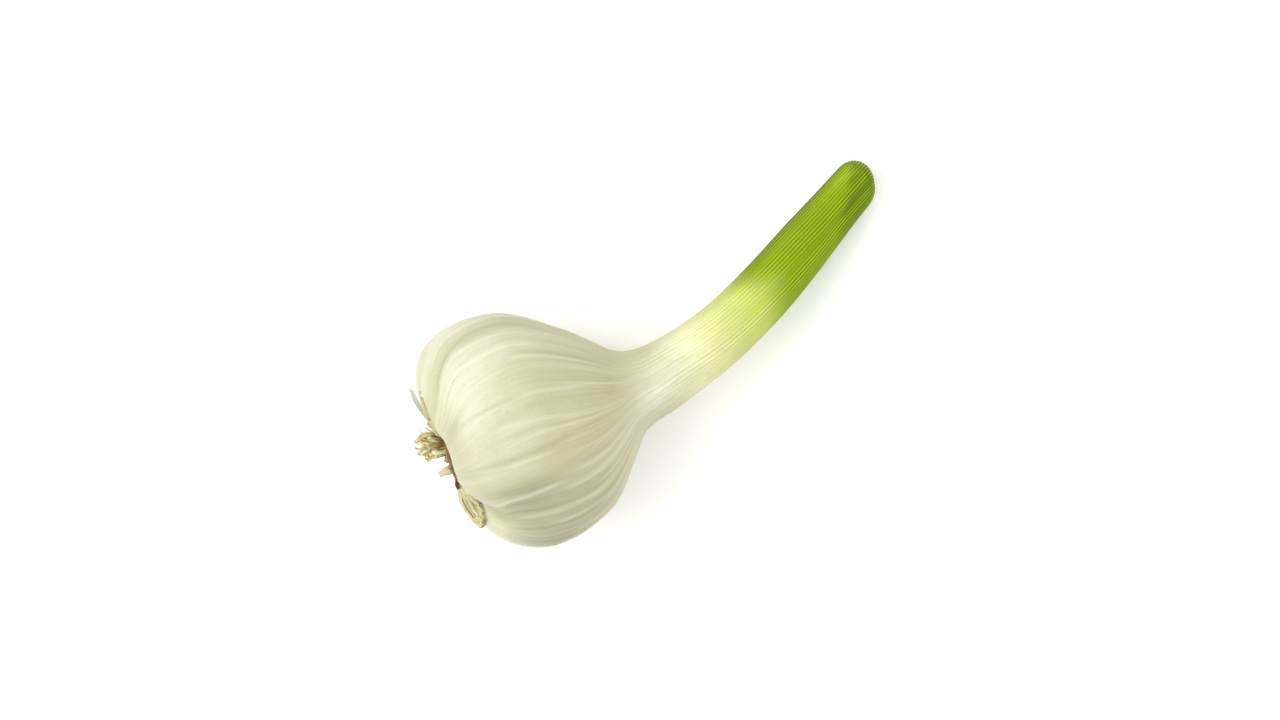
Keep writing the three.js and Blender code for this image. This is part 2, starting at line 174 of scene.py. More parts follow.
def round_axis(mesh):
    """Each vertex as its radius, height and angle on the straight axis."""
    x, y, height = points_of(mesh).T
    return np.hypot(x, y), height, np.degrees(np.arctan2(y, x))


def move(mesh, points):
    """Moves each vertex to its row of points."""
    for vert, point in zip(mesh.verts, points.tolist()):
        vert.co = point


def as_data(name, mesh):
    """Mesh data from a bmesh, which is used up."""
    data = bpy.data.meshes.new(name)
    mesh.to_mesh(data)
    mesh.free()
    return data


def joined(meshes):
    """Several meshes as one, with their vertices in order."""
    whole = bmesh.new()
    for mesh in meshes:
        part = as_data("part", mesh)
        whole.from_mesh(part)
        bpy.data.meshes.remove(part)
    return whole


def linked(name, data):
    """A new object in the scene."""
    made = bpy.data.objects.new(name, data)
    bpy.context.scene.collection.objects.link(made)
    return made


def lengthwise(angle, along):
    """Where a skin's grain is looked up: on a straight cylinder, so that it runs along the meridians."""
    return np.column_stack([GRAIN_RADIUS * cosine(angle), GRAIN_RADIUS * sine(angle), along])


def piece(name, mesh, material, node, fields, thickness=0):
    """Makes a mesh an object that rides on the bulb and stands for one CAD node."""
    bmesh.ops.recalc_face_normals(mesh, faces=mesh.faces)
    # The line above goes by the furthest face. Where that lies in a fold, a closed mesh ends up inside out.
    if not thickness and mesh.calc_volume(signed=True) < 0:
        bmesh.ops.reverse_faces(mesh, faces=mesh.faces)
    for face in mesh.faces:
        face.smooth = True
    bmesh.ops.scale(mesh, vec=(MM, MM, MM), verts=mesh.verts)
    data = as_data(name, mesh)
    for field, values in fields.items():
        kind = "FLOAT_VECTOR" if np.ndim(values) == 2 else "FLOAT"
        key = "vector" if np.ndim(values) == 2 else "value"
        attribute = data.attributes.new(field, kind, "POINT")
        attribute.data.foreach_set(key, np.asarray(values, np.float32).ravel())
    data.materials.append(material)
    made = linked(name, data)
    if thickness:
        wall = made.modifiers.new("wall", "SOLIDIFY")
        wall.thickness = thickness * MM
        wall.offset = 0
    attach(made, "root")
    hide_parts(node)
    return made


# ------------------------------------------------------------------ material helpers


def colour(red, green, blue):
    """A colour given as it looks on a screen, from 0 to 255, for a node's socket."""
    screen = [value / 255 for value in (red, green, blue)]
    linear = [v / 12.92 if v <= 0.04045 else ((v + 0.055) / 1.055) ** 2.4 for v in screen]
    return (*linear, 1)


class Field:
    """What flows out of one node's socket. Its operators add Math nodes, so they take single values."""

    def __init__(self, recipe, socket):
        self.recipe = recipe
        self.socket = socket

    def maths(self, operation, first, second):
        return self.recipe.add("ShaderNodeMath", {"operation": operation}, {0: first, 1: second})

    def __add__(self, other):
        return self.maths("ADD", self, other)

    def __radd__(self, other):
        return self.maths("ADD", other, self)

    def __sub__(self, other):
        return self.maths("SUBTRACT", self, other)

    def __rsub__(self, other):
        return self.maths("SUBTRACT", other, self)

    def __mul__(self, other):
        return self.maths("MULTIPLY", self, other)

    def __rmul__(self, other):
        return self.maths("MULTIPLY", other, self)

    def __truediv__(self, other):
        return self.maths("DIVIDE", self, other)

    def __rtruediv__(self, other):
        return self.maths("DIVIDE", other, self)

    def between(self, low, high):
        """0 below low and 1 above high, with an even rise between them."""
        settings = {"interpolation_type": "SMOOTHSTEP"}
        return self.recipe.add("ShaderNodeMapRange", settings, {"Value": self, 1: low, 2: high})


class Recipe:
    """A material that is put together node by node."""

    def __init__(self, name):
        self.material = bpy.data.materials.new(name)
        self.material.use_nodes = True
        self.tree = self.material.node_tree
        self.tree.nodes.clear()

    def add(self, kind, settings=None, inputs=None, output=0):
        """Adds a node with its settings and its sockets' values or links."""
        node = self.tree.nodes.new(kind)
        for name, value in (settings or {}).items():
            if name == "stops":
                self.set_stops(node.color_ramp.elements, value)
            else:
                setattr(node, name, value)
        for name, value in (inputs or {}).items():
            socket = node.inputs[name]
            if isinstance(value, Field):
                self.tree.links.new(value.socket, socket)
            else:
                socket.default_value = value
        return Field(self, node.outputs[output]) if node.outputs else None

    def set_stops(self, elements, stops):
        while len(elements) < len(stops):
            elements.new(1)
        for element, (position, tint) in zip(elements, stops):
            element.position = position
            element.color = tint

    def field(self, name, output="Fac"):
        """What a mesh holds at each vertex under that name, as a value, or with Vector as a vector."""
        return self.add("ShaderNodeAttribute", {"attribute_name": name}, output=output)

    def stretched(self, vector, scale):
        return self.add("ShaderNodeMapping", inputs={"Vector": vector, "Scale": scale})

    def noise(self, vector, scale, detail):
        inputs = {"Vector": vector, "Scale": scale, "Detail": detail}
        return self.add("ShaderNodeTexNoise", inputs=inputs)

    def mix(self, share, first, second):
        """Two colours mixed: the first where share is 0 or less, and the second where it is 1 or more."""
        inputs = {0: share, 6: first, 7: second}
        return self.add("ShaderNodeMix", {"data_type": "RGBA", "clamp_factor": True}, inputs, output=2)

    def coats(self, base, rows):
        """A base colour with others over it, one after another, from rows of share and colour."""
        for share, tint in rows:
            base = self.mix(share, base, tint)
        return base

    def ramp(self, share, stops):
        return self.add("ShaderNodeValToRGB", {"stops": stops}, {"Fac": share})

    def bump(self, height, distance):
        """A bump node; distance is how far, in millimetres, a height of 1 stands up."""
        inputs = {"Height": height, "Distance": distance * MM, "Strength": 1.0}
        return self.add("ShaderNodeBump", inputs=inputs)

    def finish(self, inputs, through=None, share=0.0):
        """Ends the recipe in a Principled shader with these sockets, and lets a share of light through."""
        surface = self.add("ShaderNodeBsdfPrincipled", inputs=inputs)
        if through:
            thin = self.add("ShaderNodeBsdfTranslucent", inputs={"Color": through})
            surface = self.add("ShaderNodeMixShader", inputs={0: share, 1: surface, 2: thin})
        self.add("ShaderNodeOutputMaterial", inputs={"Surface": surface})
        return self.material


# ------------------------------------------------------------------ the form of the skin

# [radius, height]: the hollow that the root plate sits in, the clove shoulders, the belly and the neck.
BULB_PROFILE = [
    (6.9, 2.2),
    (8.6, 1.2),
    (10.6, 0.2),
    (13.4, -0.35),
    (17.0, 0.05),
    (20.3, 1.2),
    (24.5, 3.9),
    (27.5, 7.8),
    (29.2, 12.4),
    (29.5, 17.4),
    (28.3, 24.0),
    (25.3, 30.4),
    (21.0, 36.6),
    (15.4, 42.2),
    (10.8, 46.6),
    (9.2, 50.6),
    (8.65, 55.0),
]
# [radius, height] of the stalk from the neck to its cut end.
STALK_PROFILE = [
    (8.65, 55.0),
    (8.15, 60.0),
    (7.85, 66.0),
    (7.55, 73.0),
    (7.35, 80.0),
    (7.2, 87.0),
    (7.0, 95.0),
    (6.7, 103.0),
    (6.35, 109.0),
    (6.05, 114.0),
    (5.85, 118.5),
    (5.65, 122.3),
]
STALK_END = STALK_PROFILE[-1][1]

# What the cloves do to the root end: the bearing at which each starts, how far the form is drawn in
# there and over what angle, and how far the clove reaches past it at its rim and on its shoulder.
CLOVE_ENDS = [
    (-46, 0.5, 11, -0.1, 0.4),
    (10, 2.2, 27, -0.5, 0.1),
    (66, 0.9, 11, -0.4, 0.5),
    (112, 0.7, 11, -0.3, 0.4),
    (160, 0.6, 11, -0.2, 0.4),
    (210, 0.8, 11, -0.3, 0.2),
    (262, 0.9, 11, -2.6, 0.0),
]
HOLLOW_AT, HOLLOW_WIDTH, HOLLOW_DEPTH, HOLLOW_RADII = -44, 21, 2.5, (10, 16)  # where straight roots lie
# Round the belly: the meridian of the groove in front of each clove, its depth and the clove's swell.
GROOVES = [
    (-48.5, 1.7, 0.45),
    (69, 1.2, 0.4),
    (122, 1.3, 0.6),
    (160, 1.2, 0.6),
    (200, 1.4, 0.7),
    (245, 1.6, 0.25),
]
GROOVE_WIDTH = 9.5

# Grooves, pleats and veins follow meridians, which don't keep to one bearing. They draw together towards
# a spot on the upper side of the root end (less so near the hollow, and more on the +Y side), and wind
# slowly round the stalk.
SWING, SWING_CENTRE, SWING_HEIGHTS = 22, -20, (-6, 34)
RIM_SWING, RIM_SWING_RADII = 6, (8, 22)
SIDE_SWINGS = [(15, 72, 28, (3, 13)), (9, -48, 18, (2, 12))]  # angle, meridian, width, heights
TWIST, TWIST_FROM, TWIST_SPAN = 0.46, 58, (50, 70)

# Each kind of relief: the radii over which it grows outwards from the root end, the heights over which
# it dies out towards the neck, and the share of it that is left there.
GROOVE_SPANS = ((8, 15), (18, 48), 0.08)
PLEAT_SPANS = ((9, 22), (36, 50), 0.4)
SWELL_SPANS = ((12, 24), (20, 44), 0)
ROOT_END_SPANS = ((7, 11), (2.5, 12), 0)
RIM_TO_SHOULDER = (11, 20)
ROOT_TILT, ROOT_TILT_SPAN = 0.16, (7, 13)
ROOT_END_TOP = 8  # what counts as the root end where something lies on it

# Pleats that stand up (+) or are pressed in (-): meridian, height, width.
PLEATS = [
    (58, 0.2, 4),
    (48, 0.42, 4),
    (33, 0.3, 5),
    (19, 0.2, 3.5),
    (-10, -0.26, 3.5),
    (-33, 0.42, 3.5),
    (-60, 0.32, 3.5),
    (-70, 0.28, 3.5),
    (-82, 0.3, 4),
    (-93, -0.2, 4),
    (-108, 0.34, 4),
    (-124, -0.25, 4),
    (-138, 0.32, 4),
    (-148, -0.2, 4),
    (-178, 0.24, 5),
    (172, -0.2, 4),
    (146, 0.36, 4),
    (134, -0.22, 4),
    (104, 0.34, 4),
    (94, -0.24, 4),
    (82, 0.26, 4),
]

OUTER_SHEATH = (4.5, 5.5)  # radii between which what shapes the stalk's outside takes hold
CUT_SLANT, CUT_BLEND = 0.8, 14  # the cut leans back under the stalk
CREASE_AT, CREASE_WIDTH, CREASE_DEPTH = -35, 15, 0.55
CREASE_FROM, CREASE_TO, CREASE_LEFT = (102, 114), (114, 122), 0.2
FLARE_AT, FLARE_WIDTH, FLARE_HEIGHT, FLARE_LENGTH = -80, 30, 0.2, 5


def amount(spans, radius, height):
    """How much of one kind of relief there is, from 0 to 1."""
    radii, heights, left = spans
    return smooth(radius, *radii) * (1 - (1 - left) * smooth(height, *heights))


def swing(meridian, radius, height):
    """How far a meridian has strayed from its bearing at the belly."""
    pull = SWING * (1 - smooth(height, *SWING_HEIGHTS)) + RIM_SWING * (1 - smooth(radius, *RIM_SWING_RADII))
    side = 0
    for angle, at, width, heights in SIDE_SWINGS:
        side = side + angle * bell(turn(meridian, at), width) * (1 - smooth(height, *heights))
    twist = TWIST * (height - TWIST_FROM) * smooth(height, *TWIST_SPAN)
    return pull * sine(meridian - SWING_CENTRE) + side + twist


def meridian_at(bearing, radius, height):
    """The meridian that passes at a bearing, to which each round comes closer."""
    meridian = bearing
    for _ in range(40):
        meridian = bearing + swing(meridian, radius, height)
    return meridian


def groove_depth(meridian):
    """The grooves between the cloves, each with a sharper bottom than a bell's."""
    depth = 0
    for at, deep, _ in GROOVES:
        depth = depth + deep * np.exp(-((abs(turn(meridian, at)) / GROOVE_WIDTH) ** 1.3))
    return depth


def pleat_height(meridian):
    """The relief of the pleats at their fullest."""
    return sum(height * bell(turn(meridian, at), width) for at, height, width in PLEATS)


def crown(angle, starts, i):
    """0 where one clove meets the next and 1 in its middle, for the clove number i."""
    half = (starts[(i + 1) % len(starts)] - starts[i]) % 360 / 2
    return np.maximum(0, 1 - (turn(angle, starts[i] + half) / half) ** 2)


def clove_swell(meridian):
    """How far each clove swells between its two grooves."""
    starts = [at for at, *_ in GROOVES]
    return sum(swell * crown(meridian, starts, i) for i, (*_, swell) in enumerate(GROOVES))


def root_end_shift(radius, height, bearing):
    """How far the root end is drawn in."""
    starts = [at for at, *_ in CLOVE_ENDS]
    shoulder = smooth(radius, *RIM_TO_SHOULDER)
    cloves = 0
    for i, (at, draw, spread, rim, reach) in enumerate(CLOVE_ENDS):
        on_clove = crown(bearing, starts, i)
        cloves = cloves + draw * bell(turn(bearing, at), spread)
        cloves = cloves - rim * smooth(on_clove, 0, 0.5) * (1 - shoulder) - reach * on_clove**0.7 * shoulder
    hollow = HOLLOW_DEPTH * bell(turn(bearing, HOLLOW_AT), HOLLOW_WIDTH) * smooth(radius, *HOLLOW_RADII)
    tilt = ROOT_TILT * radius * sine(bearing) * (1 - smooth(radius, *ROOT_TILT_SPAN))
    return (cloves + hollow) * amount(ROOT_END_SPANS, radius, height) + tilt


def near_end(height, length):
    """0 up to that length from the stalk's end, and 1 at the end."""
    return smooth(height, STALK_END - length, STALK_END)


def skin_form(radius, height, meridian):
    """The skin's radius, height and bearing from those of the straight lathed form."""
    bearing = meridian - swing(meridian, radius, height)
    groove = groove_depth(meridian) * amount(GROOVE_SPANS, radius, height)
    pleat = pleat_height(meridian) * amount(PLEAT_SPANS, radius, height)
    swell = clove_swell(meridian) * amount(SWELL_SPANS, radius, height)
    fade = smooth(height, *CREASE_FROM) * (1 - (1 - CREASE_LEFT) * smooth(height, *CREASE_TO))
    crease = CREASE_DEPTH * bell(turn(bearing, CREASE_AT), CREASE_WIDTH) * fade
    flare = FLARE_HEIGHT * bell(turn(bearing, FLARE_AT), FLARE_WIDTH) * near_end(height, FLARE_LENGTH)
    outside = (flare - crease) * smooth(radius, *OUTER_SHEATH)
    new_height = height + root_end_shift(radius, height, bearing)
    return radius - groove + pleat + swell + outside, new_height, bearing


def root_end_height(radius, angle):
    """Height of the bulb's root end at each radius and angle."""
    outline = spline(BULB_PROFILE, 2)
    outline = outline[outline[:, 1] < ROOT_END_TOP]
    rings = [skin_form(r, h, meridian_at(angle, r, h)) for r, h in outline]
    reach = np.array([ring[0] for ring in rings])
    level = np.array([ring[1] for ring in rings])
    below = np.clip((reach < radius).sum(0), 1, len(outline) - 1)
    pick = np.arange(len(radius))
    inner, outer = reach[below - 1, pick], reach[below, pick]
    low, high = level[below - 1, pick], level[below, pick]
    return low + (high - low) * (radius - inner) / (outer - inner)


# ------------------------------------------------------------------ bulb and stalk

SKIN_AROUND = 720
BULB_STEP, STALK_STEP = 1.3, 2.2
ON_LINE = 0.02  # how near to a line of the outline a vertex counts as on it
HOLLOW_FLOOR = [(0, 2.2), (2, 2.2), (4, 2.2), (5.6, 2.2)]  # [radius, height] under the root plate

# Veins (+) and creases (-) of the bulb that stand out: how tall, the width in degrees, and the way as
# [height, meridian].
VEINS = [
    (-0.1, 1.2, [(3, 68), (12, 70), (17, 73), (28, 72)]),
    (0.1, 1.0, [(4, 61), (14, 62), (24, 60)]),
    (0.1, 1.2, [(5, 51), (12, 50), (18, 48), (30, 47)]),
    (-0.06, 0.9, [(4, 47.5), (14, 47.5)]),
    (-0.07, 1.2, [(24, 43), (38, 43)]),
    (0.09, 1.0, [(22, 40), (40, 40)]),
    (-0.06, 2.2, [(4, 30), (11, 30)]),
    (-0.08, 1.0, [(6, 25), (8, 24), (14, 21.5), (21, 19)]),
    (0.075, 1.0, [(22, 18), (33, 18.5), (39, 21.5), (44, 22)]),
    (-0.06, 1.2, [(16, 12.5), (27, 12.5)]),
    (0.075, 1.0, [(16, 8), (24, 5), (34, 2.5)]),
    (-0.07, 1.0, [(16, 2), (23, 1), (29, 0), (37, 0)]),
    (-0.085, 1.6, [(3, -4.5), (11, -8), (21, -10.5), (26, -9.5), (31, -7), (38, -5)]),
    (0.1, 1.0, [(7, -9.5), (9, -10), (17, -13), (26, -13)]),
    (-0.06, 1.0, [(27, -22.5), (31, -20), (36, -17)]),
    (-0.06, 2.6, [(6, -27), (23, -27)]),
    (0.13, 1.1, [(6, -34), (14, -32.5), (24, -30.5)]),
    (-0.08, 1.5, [(6, -38), (18, -38)]),
    (-0.1, 1.2, [(4, -46), (18, -47.5), (24, -47)]),
    (0.1, 1.8, [(10, -51.5), (21, -51.2), (31, -50.5), (40, -47)]),
    (0.07, 1.0, [(18, -57.5), (28, -58)]),
    (-0.1, 1.2, [(6, -60.5), (30, -60.5)]),
    (-0.1, 1.2, [(6, -70.5), (24, -70.5)]),
]
VEIN_END = 3  # length over which a vein fades in and out
FAR_VEINS, FAR_SIDE, FAR_HEIGHT = 26, (80, 285), 0.13  # as strong ones, drawn by lot for the far side
NECK_VEINS, NECK_SIDE, NECK_HEIGHT = 16, (-68, -6), 0.085  # and by lot near the neck's lower side
FINE_VEINS = 170
FINE_HEIGHT, FINE_WIDTH = 0.08, (0.5, 1.2)
FINE_WANDER = 1.0  # degrees that a fine vein strays to each side
VEIN_SEED, FINE_SEED = 8, 5
# The veins grow over the first radii up to the bulb's middle, thin out over the second ones beyond it, and
# stop over these heights.
BULB_MIDDLE, VEINS_START, VEINS_THIN_OUT, VEINS_STOP = 20, (8, 18), (4, 20), (46, 62)
STALK_RIBS, RIB_HEIGHT = 48, 0.08
RIBS_FROM, RIBS_FULL = 43, 62

# The leaf sheaths nested in the stalk, as rings on its cut end: outer and inner radius of each.
SHEATHS = [(5.6, 4.5), (4.1, 3.0), (2.6, 0.0)]
SHEATH_STEP = 1.5  # from one sheath's radius to the next
SHEATH_GAP, SHEATH_ROUNDING = 0.9, 0.14  # the depth of the gaps between them, and their edges' softness
SHEATH_SHIFT = 0.3  # how far each is pushed off the middle, by turns to one side and the other

# The skin is gathered in wrinkles round the root plate, at this radius.
RIM_WRINKLES_AT, RIM_WRINKLES_WIDTH, RIM_WRINKLE_HEIGHT = 10.5, 3.2, 0.09
ROOT_END = 5  # the height that parts the root end from the bulb's outer side

# The height at which the green starts, where it starts later (meridian, width, and how much later), and
# how far the border's blend reaches to each side.
GREEN_FROM, GREEN_LATER, GREEN_SOFTNESS = 83.0, [(15, 36, 6.6), (-45, 34, 4.5)], 6.0
# Painted shade on the stalk's sides, where they turn from the light: the sines of the bearing over which it
# sets in, the heights over which it starts, and those over which the +Y side turns darker still. The other
# side is fainter.
SHADE_SINES, SHADE_FROM, SHADE_DEEPER = (0.55, 1.05), (40, 56), (76, 94)
OTHER_SHADE, OTHER_SHADE_SINES = 0.15, (0.66, 1.0)
# The darker green tip, in part painted shade on its dented side: its heights, those over which a painted
# highlight on the cut rim makes it paler, and the meridians between which it lies. Its edge runs slantwise.
TIP_FROM, TIP_RIM_HIGHLIGHT = (108, 113), (119, 122)
TIP_SIDE, TIP_EDGE, TIP_SLANT, TIP_SLANT_FROM = (-110, -70), (14, 26), 10, 115
# What each kind of relief is divided by for the skin's colours, which makes the strongest about 1.
VEIN_UNIT, GROOVE_UNIT, PLEAT_UNIT = 0.12, 1.9, 0.42
COLOUR_SPAN = 125  # the height that the skin's colours are spread over
CUT_SPAN = 6  # and the radius that the cut end's are spread over
SPLIT_SPAN = (1.3, 0.2)  # distances from the end over which the split edge turns pale

# Soft patches: meridian, height, width, length, and strength. Lighter (+) and darker (-) ones, mostly
# painted light and painted shade on the skin, in places its own paler and darker tone:
SHADE_LIGHT_AND_TONE_PATCHES = [
    (36, 11, 32, 10, 0.28),
    (-80, 2, 18, 2.5, 0.35),
    (41, 21, 7, 8, 0.2),
    (25, 1.5, 40, 4.5, -0.38),
    (8, 11, 11, 6, -0.12),
    (95, 10, 22, 12, 0.3),
    (-32, 14, 10, 13, -0.68),
    (-50, 8, 10, 8, -0.35),
    (34, 6, 14, 5, -0.3),
    (10, 31, 50, 12, -0.12),
    (-2, 26, 12, 10, 0.2),
    (82, 22, 14, 18, -0.4),
    (-82, 14, 12, 14, -0.45),
    (50, 40, 34, 12, -0.18),
    (-64, 20, 22, 18, -0.5),
    (-52, 34, 18, 8, -0.14),
    (-50, 44, 26, 7, 0.25),
    (2, 54, 60, 8, 0.42),
    (-20, 54, 24, 6, 0.5),
    (45, 107, 45, 9, -0.2),
    (66, 118, 24, 6, 0.3),
]
# and ochre stains:
STAINS = [
    (36, 24, 5, 3, 0.4),
    (-10, 26, 7, 4, 0.25),
    (40, 22.5, 1.5, 1.2, 0.5),
    (56, 26, 1.5, 1.2, 0.5),
    (15, 42.5, 5, 1.6, 0.7),
    (27, 43, 1.6, 1.5, 0.8),
    (-40, 14, 3, 8, 0.3),
    (70, 12, 3, 10, 0.35),
    (140, 20, 6, 9, 0.5),
    (-120, 22, 5, 8, 0.45),
    (190, 30, 6, 6, 0.4),
]


def vein(height, meridian, tall, width, route):
    """One vein along a route of (height, meridian)."""
    heights, meridians = zip(*route)
    drawn = smooth(height, heights[0] - VEIN_END, heights[0] + VEIN_END)
    drawn = drawn * (1 - smooth(height, heights[-1] - VEIN_END, heights[-1] + VEIN_END))
    return tall * drawn * bell(turn(meridian, np.interp(height, heights, meridians)), width)


def strong_veins(height, meridian):
    """The veins and creases that stand out: placed ones, and those drawn by lot."""
    relief = sum(vein(height, meridian, *row) for row in VEINS)
    draw = np.random.default_rng(VEIN_SEED)
    for at in np.linspace(*FAR_SIDE, FAR_VEINS):
        start, length = draw.uniform(2, 22), draw.uniform(8, 26)
        ends = [(start, at + draw.uniform(-3, 3)), (start + length, at + draw.uniform(-3, 3))]
        relief += vein(height, meridian, FAR_HEIGHT * draw.uniform(-1, 1), draw.uniform(0.9, 1.6), ends)
    for i, at in enumerate(np.linspace(*NECK_SIDE, NECK_VEINS)):
        start, length = draw.uniform(24, 34), draw.uniform(14, 26)
        ends = [(start, at + draw.uniform(-1.5, 1.5)), (start + length, at + draw.uniform(-1.5, 1.5))]
        tall = (-1) ** i * NECK_HEIGHT * draw.uniform(0.3, 1)
        relief += vein(height, meridian, tall, draw.uniform(1.2, 2.0), ends)
    return relief


def fine_veins(height, meridian):
    """Fine ridges that run the length of the bulb, each with its own place, strength and stray."""
    draw = np.random.default_rng(FINE_SEED)
    relief = np.zeros_like(meridian)
    for i in range(FINE_VEINS):
        at = (i + draw.uniform(-0.45, 0.45)) * 360 / FINE_VEINS
        waves = np.sin(height / draw.uniform(9, 16) + draw.uniform(0, tau))
        fade = 0.5 + 0.5 * np.sin(height / draw.uniform(6, 12) + draw.uniform(0, tau))
        tall, width = FINE_HEIGHT * draw.uniform(0.1, 1) ** 2, draw.uniform(*FINE_WIDTH)
        relief += tall * fade * bell(turn(meridian, at + FINE_WANDER * draw.uniform(-1, 1) * waves), width)
    return relief


def ribs(height, meridian):
    """The stalk's ribs, from about -1 to 1, some stronger than others."""
    strength = 0.66 + 0.2 * cosine(7 * meridian + 40 + height) + 0.2 * cosine(11 * meridian - 2 * height)
    stray = np.sin(height / 17 + 2 * np.radians(meridian))
    return strength * cosine(STALK_RIBS * (meridian + stray)) * smooth(height, RIBS_FROM, RIBS_FULL)


def cut_end_outline():
    """From the stalk's outer edge over each sheath to the pith."""
    bottom, tip = STALK_END - SHEATH_GAP, STALK_END
    soft = SHEATH_ROUNDING
    outline = []
    for outer, inner in SHEATHS:
        if outer != SHEATHS[0][0]:
            outline += [(outer + 0.2, bottom), (outer + 0.03, bottom + 0.1)]
        outline += [(outer, tip - soft), (outer - soft * 0.3, tip - soft * 0.3), (outer - soft, tip)]
        if inner:
            middle = (outer + inner) / 2
            outline += [(middle + 0.2, tip + 0.05), (middle, tip - 0.06), (middle - 0.2, tip + 0.05)]
            outline += [(inner + soft, tip), (inner + soft * 0.3, tip - soft * 0.3)]
            outline += [(inner, tip - soft), (inner - 0.03, bottom + 0.1), (inner - 0.2, bottom)]
        else:
            outline += [(outer * 0.7, tip - 0.05), (outer * 0.4, tip - 0.2), (0.4, tip - 0.3), (0, tip - 0.3)]
    return outline


def skin_outline():
    """From under the root plate over the bulb and along the stalk to the pith."""
    bulb = even(spline(BULB_PROFILE, 12), BULB_STEP)
    stalk = even(np.array(STALK_PROFILE), STALK_STEP)
    return HOLLOW_FLOOR + bulb.tolist() + stalk[1:].tolist() + cut_end_outline()


def bulb_and_stalk(material):
    """The skins that wrap the cloves and run on as the neck and the stalk."""
    mesh = spun(skin_outline(), SKIN_AROUND)
    radius, height, meridian = round_axis(mesh)
    meridian = np.where(radius < 1e-4, 0, meridian)
    on_cut = (height > STALK_END - SHEATH_GAP - ON_LINE) & (radius < SHEATHS[0][0] + ON_LINE)
    outside = smooth(radius, *OUTER_SHEATH)

    at_root, at_neck = smooth(radius, *VEINS_START), smooth(radius, *VEINS_THIN_OUT)
    on_bulb = np.where(height < BULB_MIDDLE, at_root, at_neck) * (1 - smooth(height, *VEINS_STOP))
    strong = strong_veins(height, meridian) * on_bulb
    fine = fine_veins(height, meridian) * on_bulb * (1 + 0.6 * smooth(height, 24, 42))
    rib = ribs(height, meridian)
    new_radius, new_height, bearing = skin_form(radius, height, meridian)
    new_radius = new_radius + (strong + fine + RIB_HEIGHT * rib) * outside
    rim = bell(radius - RIM_WRINKLES_AT, RIM_WRINKLES_WIDTH) * (height < ROOT_END)
    wrinkles = cosine(53 * bearing + 30 * cosine(5 * bearing)) + 0.6 * cosine(31 * bearing + 90)
    new_height = new_height + RIM_WRINKLE_HEIGHT * rim * wrinkles
    slant = CUT_SLANT * near_end(height, CUT_BLEND) * new_radius * cosine(bearing)
    points = place(new_radius, new_height + slant, bearing)
    shift = np.where(on_cut, 1 - outside, 0) * smooth(radius, 0, SHEATH_STEP)
    points[:, 1] += SHEATH_SHIFT * np.sin(pi * radius / SHEATH_STEP) * shift
    points[:, 2] = np.maximum(points[:, 2], 0)
    move(mesh, points)

    fields = {
        "grain": lengthwise(meridian, height),
        "height": height,
        "vein": strong / VEIN_UNIT,
        "fine_vein": fine / FINE_HEIGHT,
        "stripe": rib,
        "groove": groove_depth(meridian) * amount(GROOVE_SPANS, radius, height) / GROOVE_UNIT,
        "pleat": pleat_height(meridian) * amount(PLEAT_SPANS, radius, height) / PLEAT_UNIT,
        "wrinkle": rim * wrinkles,
        "near_root": (1 - smooth(radius, 9, 18)) * (height < ROOT_END),
        "cut": on_cut.astype(float),
        "from_axis": radius,
        "greening": greening(height, meridian),
        "dark_tip": dark_tip(height, meridian),
        "stain": patches(STAINS, height, meridian),
        # tone: mostly painted light and painted shade, from the patches and the stalk's shaded sides
        "tone": patches(SHADE_LIGHT_AND_TONE_PATCHES, height, meridian) - painted_side_shade(bearing, height),
    }
    return piece("bulb_and_stalk", mesh, material, "bulb_and_stalk", fields)


def painted_side_shade(bearing, height):
    """Painted shade along the stalk's sides: mostly on the +Y side, and there towards the tip."""
    left = smooth(sine(bearing), *SHADE_SINES) * (0.45 + 0.5 * smooth(height, *SHADE_DEEPER))
    right = OTHER_SHADE * smooth(-sine(bearing), *OTHER_SHADE_SINES)
    return (left + right) * smooth(height, *SHADE_FROM)


def greening(height, meridian):
    """How green the stalk is, from 0 to 1: the green starts further up on top than at the sides."""
    border = GREEN_FROM + sum(later * bell(turn(meridian, at), width) for at, width, later in GREEN_LATER)
    return smooth(height, border - GREEN_SOFTNESS, border + GREEN_SOFTNESS)


def dark_tip(height, meridian):
    """The darker green on one half of the stalk's tip, in part painted shade, and paler at the cut rim's
    painted highlight.
    """
    edge = meridian - TIP_SLANT * (height - TIP_SLANT_FROM)
    on_dark_side = smooth(meridian, *TIP_SIDE) * (1 - smooth(edge, *TIP_EDGE))
    return smooth(height, *TIP_FROM) * (1 - 0.35 * smooth(height, *TIP_RIM_HIGHLIGHT)) * on_dark_side


def patches(rows, height, meridian):
    """Soft patches on the skin, from rows of meridian, height, width, length and strength."""
    total = 0
    for at, high, width, length, strength in rows:
        total = total + strength * bell(turn(meridian, at), width) * bell(height - high, length)
    return total


